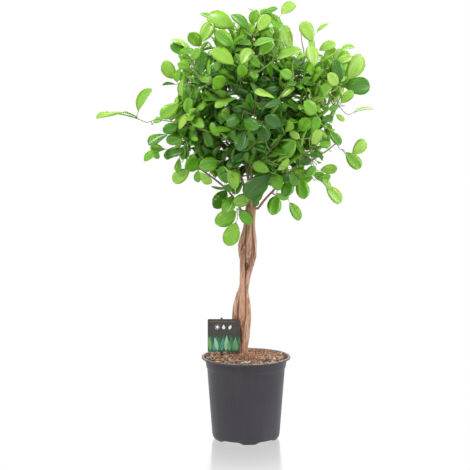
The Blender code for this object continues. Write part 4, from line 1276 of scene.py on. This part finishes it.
def grow_leaf(place, along, radial, lean, size, youth, rng):
    """Place one leaf, turned or shrunk until it is clear, or leave it out.  Says which."""
    for attempt in range(GROW_TRIES):
        swing = math.radians(rng.uniform(-1, 1) * TRY_SWING * attempt)
        out = Matrix.Rotation(swing, 3, along) @ radial
        tilt = lean + rng.uniform(-0.06, 0.06) * attempt
        heading = along * math.cos(tilt) + out * math.sin(tilt)
        heading = (heading + UP * (0.40 * youth - 0.12)).normalized()
        outward = (place - CROWN_MIDDLE).normalized()
        chance = Vector((rng.gauss(0, 1), rng.gauss(0, 1), rng.gauss(0, 1)))
        normal = UP * FACE_UP + outward * FACE_OUT + chance * FACE_CHANCE
        normal = (normal - heading * normal.dot(heading)).normalized()
        small = size * (1 - TRY_SHRINK * attempt)
        card, _ = leaf_card(place, heading, normal, small)
        middle = place + heading * (0.6 * small)
        if (crown_share(place + heading * small) < 1.0 and crown.clear(card, middle)
                and not crown.shades(card, middle) and not blocks_opening(card)):
            crown.place(card, middle, (place, heading, normal, small, youth,
                                       rng.randrange(LEAF_KINDS)))
            return True
    return False


HEART_RADIUS = 0.09  # of the crown's middle, as seen from the front, where the leaves are painted darker as shade
OLD_Z, YOUNG_Z = 0.62, 1.00  # heights of the oldest and the youngest leaves


def leaf_youth(place, share, rng):
    """Young leaves hang at the top and the outside, old ones in the middle and below.  The
    middle, as seen from the front, is made older still, so darker, as painted shade.
    """
    away = place - CROWN_MIDDLE
    # The heart lowers the youth: painted shade in the crown's middle, which also tips those leaves
    # down a little.
    heart = math.exp(-(away.x**2 + away.z**2) / HEART_RADIUS**2)
    out = min(crown_share(place), 1.0) * (1 - 0.34 * heart)
    height = (place.z - OLD_Z) / (YOUNG_Z - OLD_Z)
    return min(max(0.62 * out**2 + 0.38 * height * out + 0.16 * share - 0.08
                   + 0.8 * max(away.x, 0.0) + rng.gauss(0, 0.13), 0.0), 0.95)


def grow_leaves(twig, points, leaf_from, rng):
    """Hang leaves in a loose spiral along a twig, from its tip back to where they start."""
    length = length_of(points)
    count = max(2, round((length - leaf_from) / LEAF_STEP) + 1)
    spin = rng.uniform(0, 2 * math.pi)
    for number in reversed(range(count)):
        share = number / (count - 1)
        seat = leaf_from + (length - leaf_from) * share
        place, along = point_at(points, seat)
        side = along.orthogonal().normalized()
        radial = Matrix.Rotation(spin + number * math.radians(137.5), 3, along) @ side
        lean = 0.12 if number == count - 1 else 1.15 - 0.45 * share
        size = rng.uniform(46, 60) * MM * (1 - 0.14 * max(share - 0.7, 0) / 0.3)
        if grow_leaf(place, along, radial, lean, size, leaf_youth(place, share, rng), rng):
            bear(twig, seat / length)


rng = random.Random(39)
for twig, points, leaf_from in shoots:
    grow_leaves(twig, points, leaf_from, rng)

# Side twigs that fill the crown between the sprays, front and back.
SIDE_TWIGS = 170
for number in range(SIDE_TWIGS):
    way = Vector((rng.gauss(0, 1), rng.gauss(0, 1), rng.gauss(0, 1)))
    way = way / crown_share(CROWN_MIDDLE + way)
    place = CROWN_MIDDLE + way * rng.uniform(0.45, 0.86)
    start, distance, parent = nearest_wood(place)
    if distance < 12 * MM:
        continue
    heading = (way.normalized() + UP * 0.5).normalized()
    line = curve_points(start, start.lerp(place, 0.35), place - heading * 0.35 * distance, place,
                        5 + int(distance / (7 * MM)))
    twig = add_twig(line, 1.2 * MM, 0.8 * MM, 0.55, parent)
    grow_leaves(twig, line, min(0.4 * distance, 22 * MM), rng)

# Older, darker leaves on short spurs, close to the branches.
SPURS = 220
spur_seats = []
for name in BRANCH_NAMES:
    for face in frame["nodes"][name].data.polygons:
        if face.center.z > 0.62 and face.area > 12 * MM * MM:
            spur_seats.append((face.center.copy(), face.normal.copy()))
rng.shuffle(spur_seats)
for place, normal in spur_seats[:SPURS]:
    outward = (place - CROWN_MIDDLE).normalized()
    heading = (normal + outward * 0.4 + UP * 0.3).normalized()
    length = rng.uniform(14, 46) * MM
    points = curve_points(place - normal * MM, place + normal * length * 0.4,
                          place + heading * length * 0.8, place + heading * length, 7)
    twig = add_twig(points, 1.1 * MM, 0.8 * MM, 0.1)
    for number in range(1 + int(length / (12 * MM))):
        spot, along = point_at(points, length * (1 - 0.28 * number))
        side = along.orthogonal().normalized()
        radial = Matrix.Rotation(rng.uniform(0, 2 * math.pi), 3, along) @ side
        if grow_leaf(spot, along, radial, 0.3 if number == 0 else 1.0,
                     rng.uniform(45, 56) * MM, leaf_youth(spot, 0.0, rng), rng):
            bear(twig, 1 - 0.28 * number)

twig_material, tree, shader = start_material("twig_bark", 0.6)
twig_colour = blend_colours(tree, kept_value(tree, "tone"), (0.17, 0.095, 0.050),
                            (0.42, 0.56, 0.17))
mottled = mottle(tree, object_coords(tree), 500.0, 0.3, 0.7)
twig_colour = blend_colours(tree, scaled(tree, mottled, 0.0, 0.5), twig_colour, (0.10, 0.07, 0.03))
tree.links.new(twig_colour, shader.inputs["Base Color"])
for twig in reversed(range(len(twig_lines))):
    if twig in borne and twig_parents[twig]:
        bear(*twig_parents[twig])
drawn_lines = []
for twig, share in sorted(borne.items()):
    last = math.ceil(share * (len(twig_lines[twig]) - 1) - 0.001)
    drawn_lines.append(twig_lines[twig][:max(last, 1) + 1])
twigs_mesh = threads("twigs", drawn_lines, 6, twig_material,
                     [twig_tones[twig] for twig in sorted(borne)])
twigs = put_in_scene(twigs_mesh, "twigs", twig_material)
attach(twigs, "root")
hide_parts(*SPRAY_NAMES)


def leaf_tree():
    """Copy a leaf to each point, turned, sized and chosen as the point says."""
    group, given = start_geometry_tree("Hang leaves", (("Shapes", "NodeSocketCollection"),
                                                       ("Size", "NodeSocketFloat"),
                                                       ("Material", "NodeSocketMaterial")))
    shapes = add(group, "GeometryNodeCollectionInfo",
                 {"Collection": given["Shapes"], "Separate Children": True, "Reset Children": True})
    read = {}
    for label, kind in (("turn", "FLOAT_VECTOR"), ("size", "FLOAT"), ("kind", "INT")):
        read[label] = add(group, "GeometryNodeInputNamedAttribute", {"Name": label},
                          data_type=kind).outputs[0]
    turned = add(group, "FunctionNodeEulerToRotation", {0: read["turn"]})
    sized = add(group, "ShaderNodeMath", {0: read["size"], 1: given["Size"]}, operation="MULTIPLY")
    copies = add(group, "GeometryNodeInstanceOnPoints",
                 {"Points": given["Geometry"], "Instance": shapes.outputs[0],
                  "Pick Instance": True, "Instance Index": read["kind"],
                  "Rotation": turned.outputs[0], "Scale": sized.outputs[0]})
    real = add(group, "GeometryNodeRealizeInstances", {0: copies.outputs[0]})
    dressed = add(group, "GeometryNodeSetMaterial", {"Geometry": real.outputs[0],
                                                     "Material": given["Material"]})
    add(group, "NodeGroupOutput", {0: dressed.outputs[0]})
    return group


# Leaves low in the middle of the crown are painted darker, as the crown's own shade on them,
# and the crown's right side is a little younger.
SHADED_MIDDLE = Vector((8 * MM, 0.0, 692 * MM))
SHADED_REACH = 0.048
SHADED_DEPTH = 0.5
YOUTH_TO_RIGHT = 0.4  # for each metre

leaf_material, tree, shader = start_material("leaf_skin", 0.34)
facing = add(tree, "ShaderNodeLayerWeight", {"Blend": 0.5}).outputs["Facing"]
gloss = add(tree, "ShaderNodeMapRange", {"Value": facing, "From Min": 0.45, "From Max": 0.72,
                                         "To Min": 0.46, "To Max": 0.0})
tree.links.new(gloss.outputs["Result"], shader.inputs["Specular IOR Level"])
shader.inputs["Subsurface Weight"].default_value = 0.35
shader.inputs["Subsurface Radius"].default_value = (0.5, 1.0, 0.1)
shader.inputs["Subsurface Scale"].default_value = 1.5 * MM
# The kept youth carries the leaves' age and also painted shade in the crown's middle.
youth = kept_value(tree, "youth")
across = kept_value(tree, "across")
along = kept_value(tree, "along")
under = kept_value(tree, "under")
green = colour_ramp(tree, youth, (
    (0.0, (0.015, 0.074, 0.008)), (0.3, (0.052, 0.206, 0.012)), (0.6, (0.172, 0.435, 0.024)),
    (0.85, (0.310, 0.570, 0.060)), (1.0, (0.400, 0.635, 0.105))))
aside = add(tree, "ShaderNodeMath", {0: across}, operation="ABSOLUTE").outputs[0]
slant = add(tree, "ShaderNodeMath", {0: aside, 1: -0.22, 2: along}, operation="MULTIPLY_ADD")
veins = add(tree, "ShaderNodeMath", {0: slant.outputs[0], 1: 62.0}, operation="MULTIPLY")
veins = add(tree, "ShaderNodeMath", {0: veins.outputs[0]}, operation="SINE")
veins = add(tree, "ShaderNodeMapRange", {"Value": veins.outputs[0], "From Min": 0.80,
                                         "From Max": 1.0}).outputs["Result"]
midrib = add(tree, "ShaderNodeMapRange", {"Value": aside, "From Min": 0.02, "From Max": 0.09,
                                          "To Min": 1.0, "To Max": 0.0}).outputs["Result"]
blotch = mottle(tree, object_coords(tree), 70.0, 0.3, 0.7, 3.0)
green = blend_colours(tree, scaled(tree, blotch, 0.0, 0.20), green, (0.10, 0.30, 0.01))
pale = blend_colours(tree, youth, (0.09, 0.27, 0.03), (0.46, 0.68, 0.15))
green = blend_colours(tree, scaled(tree, veins, 0.0, 0.10), green, pale)
green = blend_colours(tree, scaled(tree, midrib, 0.0, 0.25), green, pale)
dull = blend_colours(tree, youth, (0.09, 0.22, 0.04), (0.38, 0.58, 0.11))
green = blend_colours(tree, scaled(tree, under, 0.0, 0.85), green, dull)
tree.links.new(green, shader.inputs["Base Color"])
tree.links.new(scaled(tree, under, 0.25, 0.60), shader.inputs["Roughness"])
relief = bump(tree, veins, 0.15 * MM, 0.3, bump(tree, midrib, 0.5 * MM, 0.6))
tree.links.new(relief, shader.inputs["Normal"])

points_mesh = bpy.data.meshes.new("leaf_points")
points_mesh.from_pydata([leaf[0] for leaf in crown.leaves], [], [])
turns, sizes, youths_with_shade, kinds = [], [], [], []
for place, heading, normal, size, age, kind in crown.leaves:
    away = place - SHADED_MIDDLE
    shade = math.exp(-(away.x**2 + away.z**2) / SHADED_REACH**2)
    side = heading.cross(normal).normalized()
    turns += Matrix((side, heading, side.cross(heading))).transposed().to_euler()[:]
    sizes.append(size)
    younger = YOUTH_TO_RIGHT * max(place.x, 0.0)
    # Painted shade: the youth, and so the colour, is lowered for leaves low in the crown's middle.
    youths_with_shade.append(min(age * (1 - SHADED_DEPTH * shade) + younger, 1.0))
    kinds.append(kind)
points_mesh.attributes.new("turn", "FLOAT_VECTOR", "POINT").data.foreach_set("vector", turns)
points_mesh.attributes.new("size", "FLOAT", "POINT").data.foreach_set("value", sizes)
points_mesh.attributes.new("youth", "FLOAT", "POINT").data.foreach_set("value", youths_with_shade)
points_mesh.attributes.new("kind", "INT", "POINT").data.foreach_set("value", kinds)
leaf_points = bpy.data.objects.new("leaf_points", points_mesh)
scene.collection.objects.link(leaf_points)
leaves_mesh = run_geometry_tree(leaf_points, leaf_tree(), {
    "Shapes": leaf_shapes, "Size": 1.0, "Material": leaf_material}, "leaves")
bpy.data.objects.remove(leaf_points, do_unlink=True)
forget(leaf_shapes)
leaves = put_in_scene(leaves_mesh, "leaves", leaf_material)
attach(leaves, "root")
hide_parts(*SPRAY_NAMES)

# ------------------------------------------------------------------------- the label
# A printed plastic card on a black stake: a row of plain care signs above a band of
# leaf shapes in greens.  The card is thin, with rounded corners.

card_low, card_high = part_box("label_card")
CARD_MIDDLE = (card_low + card_high) / 2
CARD_FRONT = card_low.y
INK_LIFT = 0.10 * MM  # how far the signs stand out from the card
SUN_X, SIGN_Z = -15.0, 20.0  # the sun's middle, in millimetres from the card's
SUN_RAYS = 8
LEAF_FOOT_Z = -37  # where the printed leaves start

card_material, tree, shader = start_material("label_print", 0.38)
even = object_coords(tree)
heights = add(tree, "ShaderNodeSeparateXYZ", {"Vector": even})
low_half = add(tree, "ShaderNodeMapRange", {"Value": heights.outputs["Z"],
                                            "From Min": CARD_MIDDLE.z + 6 * MM,
                                            "From Max": CARD_MIDDLE.z - 14 * MM})
cloud = mottle(tree, even, 90.0, 0.3, 0.7)
ink = blend_colours(tree, cloud, (0.030, 0.025, 0.020), (0.062, 0.050, 0.040))
ink = blend_colours(tree, low_half.outputs["Result"], ink, (0.015, 0.085, 0.045))
tree.links.new(ink, shader.inputs["Base Color"])
grain = mottle(tree, even, 900.0, 0.2, 0.8)
tree.links.new(bump(tree, grain, 0.03 * MM, 0.5), shader.inputs["Normal"])
card = frame["nodes"]["label_card"]
card.data.materials.clear()
card.data.materials.append(card_material)


def flat_print(name, outline, raise_by, material):
    """A shape printed on the card: its outline, in millimetres from the card's middle."""
    bm = bmesh.new()
    front = [bm.verts.new((CARD_MIDDLE.x + x * MM, CARD_FRONT - raise_by, CARD_MIDDLE.z + z * MM))
             for x, z in outline]
    back = [bm.verts.new((vert.co.x, CARD_FRONT - 0.02 * MM, vert.co.z)) for vert in front]
    bm.faces.new(front)
    bm.faces.new(reversed(back))
    for step in range(len(front)):
        after = (step + 1) % len(front)
        bm.faces.new((front[after], front[step], back[step], back[after]))
    bmesh.ops.recalc_face_normals(bm, faces=bm.faces)
    mesh = bpy.data.meshes.new(name)
    bm.to_mesh(mesh)
    bm.free()
    piece = put_in_scene(mesh, name, material, smooth=False)
    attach(piece, "root")
    return piece


def print_ink(name, first, second, scale):
    """A printed colour that drifts a little between two shades."""
    material, tree, shader = start_material(name, 0.35)
    drift = mottle(tree, object_coords(tree), scale, 0.35, 0.65)
    tree.links.new(blend_colours(tree, drift, first, second), shader.inputs["Base Color"])
    return material


def ellipse(x, z, wide, high, steps=20):
    """Outline of an ellipse round a place."""
    return [(x + wide * math.cos(2 * math.pi * step / steps),
             z + high * math.sin(2 * math.pi * step / steps)) for step in range(steps)]


def leaf_print(x, z, length, width, lean):
    """Outline of a pointed leaf that rises from a place, leaning by some degrees."""
    turn = math.radians(lean)
    outline = []
    for side in (1, -1):
        shares = [step / 9 for step in range(10)]
        for share in (shares if side == 1 else shares[::-1][1:-1]):
            across = side * 0.5 * width * math.sin(math.pi * share ** 0.8)
            up = share * length
            outline.append((x + across * math.cos(turn) + up * math.sin(turn),
                            z - across * math.sin(turn) + up * math.cos(turn)))
    return outline


white_ink = print_ink("white_ink", (0.86, 0.86, 0.86), (0.76, 0.77, 0.77), 200.0)
greens = (print_ink("teal_ink", (0.05, 0.26, 0.15), (0.09, 0.36, 0.22), 120.0),
          print_ink("mint_ink", (0.22, 0.52, 0.32), (0.34, 0.62, 0.42), 120.0),
          print_ink("moss_ink", (0.12, 0.30, 0.08), (0.20, 0.42, 0.12), 120.0))
deep_ink = print_ink("deep_ink", (0.02, 0.13, 0.07), (0.05, 0.20, 0.10), 160.0)
tan_ink = print_ink("tan_ink", (0.20, 0.16, 0.08), (0.12, 0.17, 0.07), 90.0)
flat_print("sign_sun", ellipse(SUN_X, SIGN_Z, 3.4, 3.4), INK_LIFT, white_ink)
for step in range(SUN_RAYS):
    turn = 2 * math.pi * step / SUN_RAYS
    x, z = SUN_X + 5.6 * math.cos(turn), SIGN_Z + 5.6 * math.sin(turn)
    flat_print(f"sign_ray_{step}", ellipse(x, z, 0.75, 0.75, 8), INK_LIFT, white_ink)
drop = [(0.0, 26.0)]
for degrees in range(110, -111, -20):
    turn = math.radians(degrees)
    drop.append((3.6 * math.sin(turn), 18.6 - 3.8 * math.cos(turn)))
flat_print("sign_drop", drop, INK_LIFT, white_ink)
flat_print("sign_leaf", leaf_print(12.5, 14.5, 12.0, 6.5, 28), INK_LIFT, white_ink)
for number, x in enumerate(range(-33, 35, 6)):
    outline = leaf_print(x, LEAF_FOOT_Z, 33 + 5 * math.sin(2.3 * number), 8,
                         9 * math.sin(4.1 * number))
    flat_print(f"print_back_leaf_{number}", outline, (0.03 + 0.012 * (number % 2)) * MM, deep_ink)
for number, (x, length, width, lean, shade) in enumerate((
        (-31, 35, 8, -6, 2), (-23, 29, 9, 8, 0), (-14, 34, 9, -12, 1), (-5, 31, 9, 6, 0),
        (5, 38, 9, 4, 1), (14, 29, 9, -8, 2), (23, 34, 9, 10, 0), (31, 33, 8, -6, 2))):
    flat_print(f"print_leaf_{number}", leaf_print(x, LEAF_FOOT_Z, length, width, lean),
               (0.06 + 0.015 * (number % 3)) * MM, greens[shade])
for number in range(11):
    flat_print(f"print_mark_{number}", ellipse(-30 + 5.4 * number, 33.0, 1.9, 0.9, 10),
               INK_LIFT, tan_ink)

# ------------------------------------------------------------------------- the stake
# A flat pointed bar of black moulded plastic, pushed into the soil behind the card.  Its
# head shows just above the card's top edge.

stake_material, tree, shader = start_material("stake_plastic", 0.45)
cloud = mottle(tree, object_coords(tree), 260.0, 0.3, 0.7)
stake_colour = blend_colours(tree, cloud, (0.012, 0.011, 0.012), (0.040, 0.037, 0.036))
tree.links.new(stake_colour, shader.inputs["Base Color"])
tree.links.new(bump(tree, cloud, 0.1 * MM, 0.5), shader.inputs["Normal"])
stake = frame["nodes"]["label_stake"]
stake.data.materials.clear()
stake.data.materials.append(stake_material)
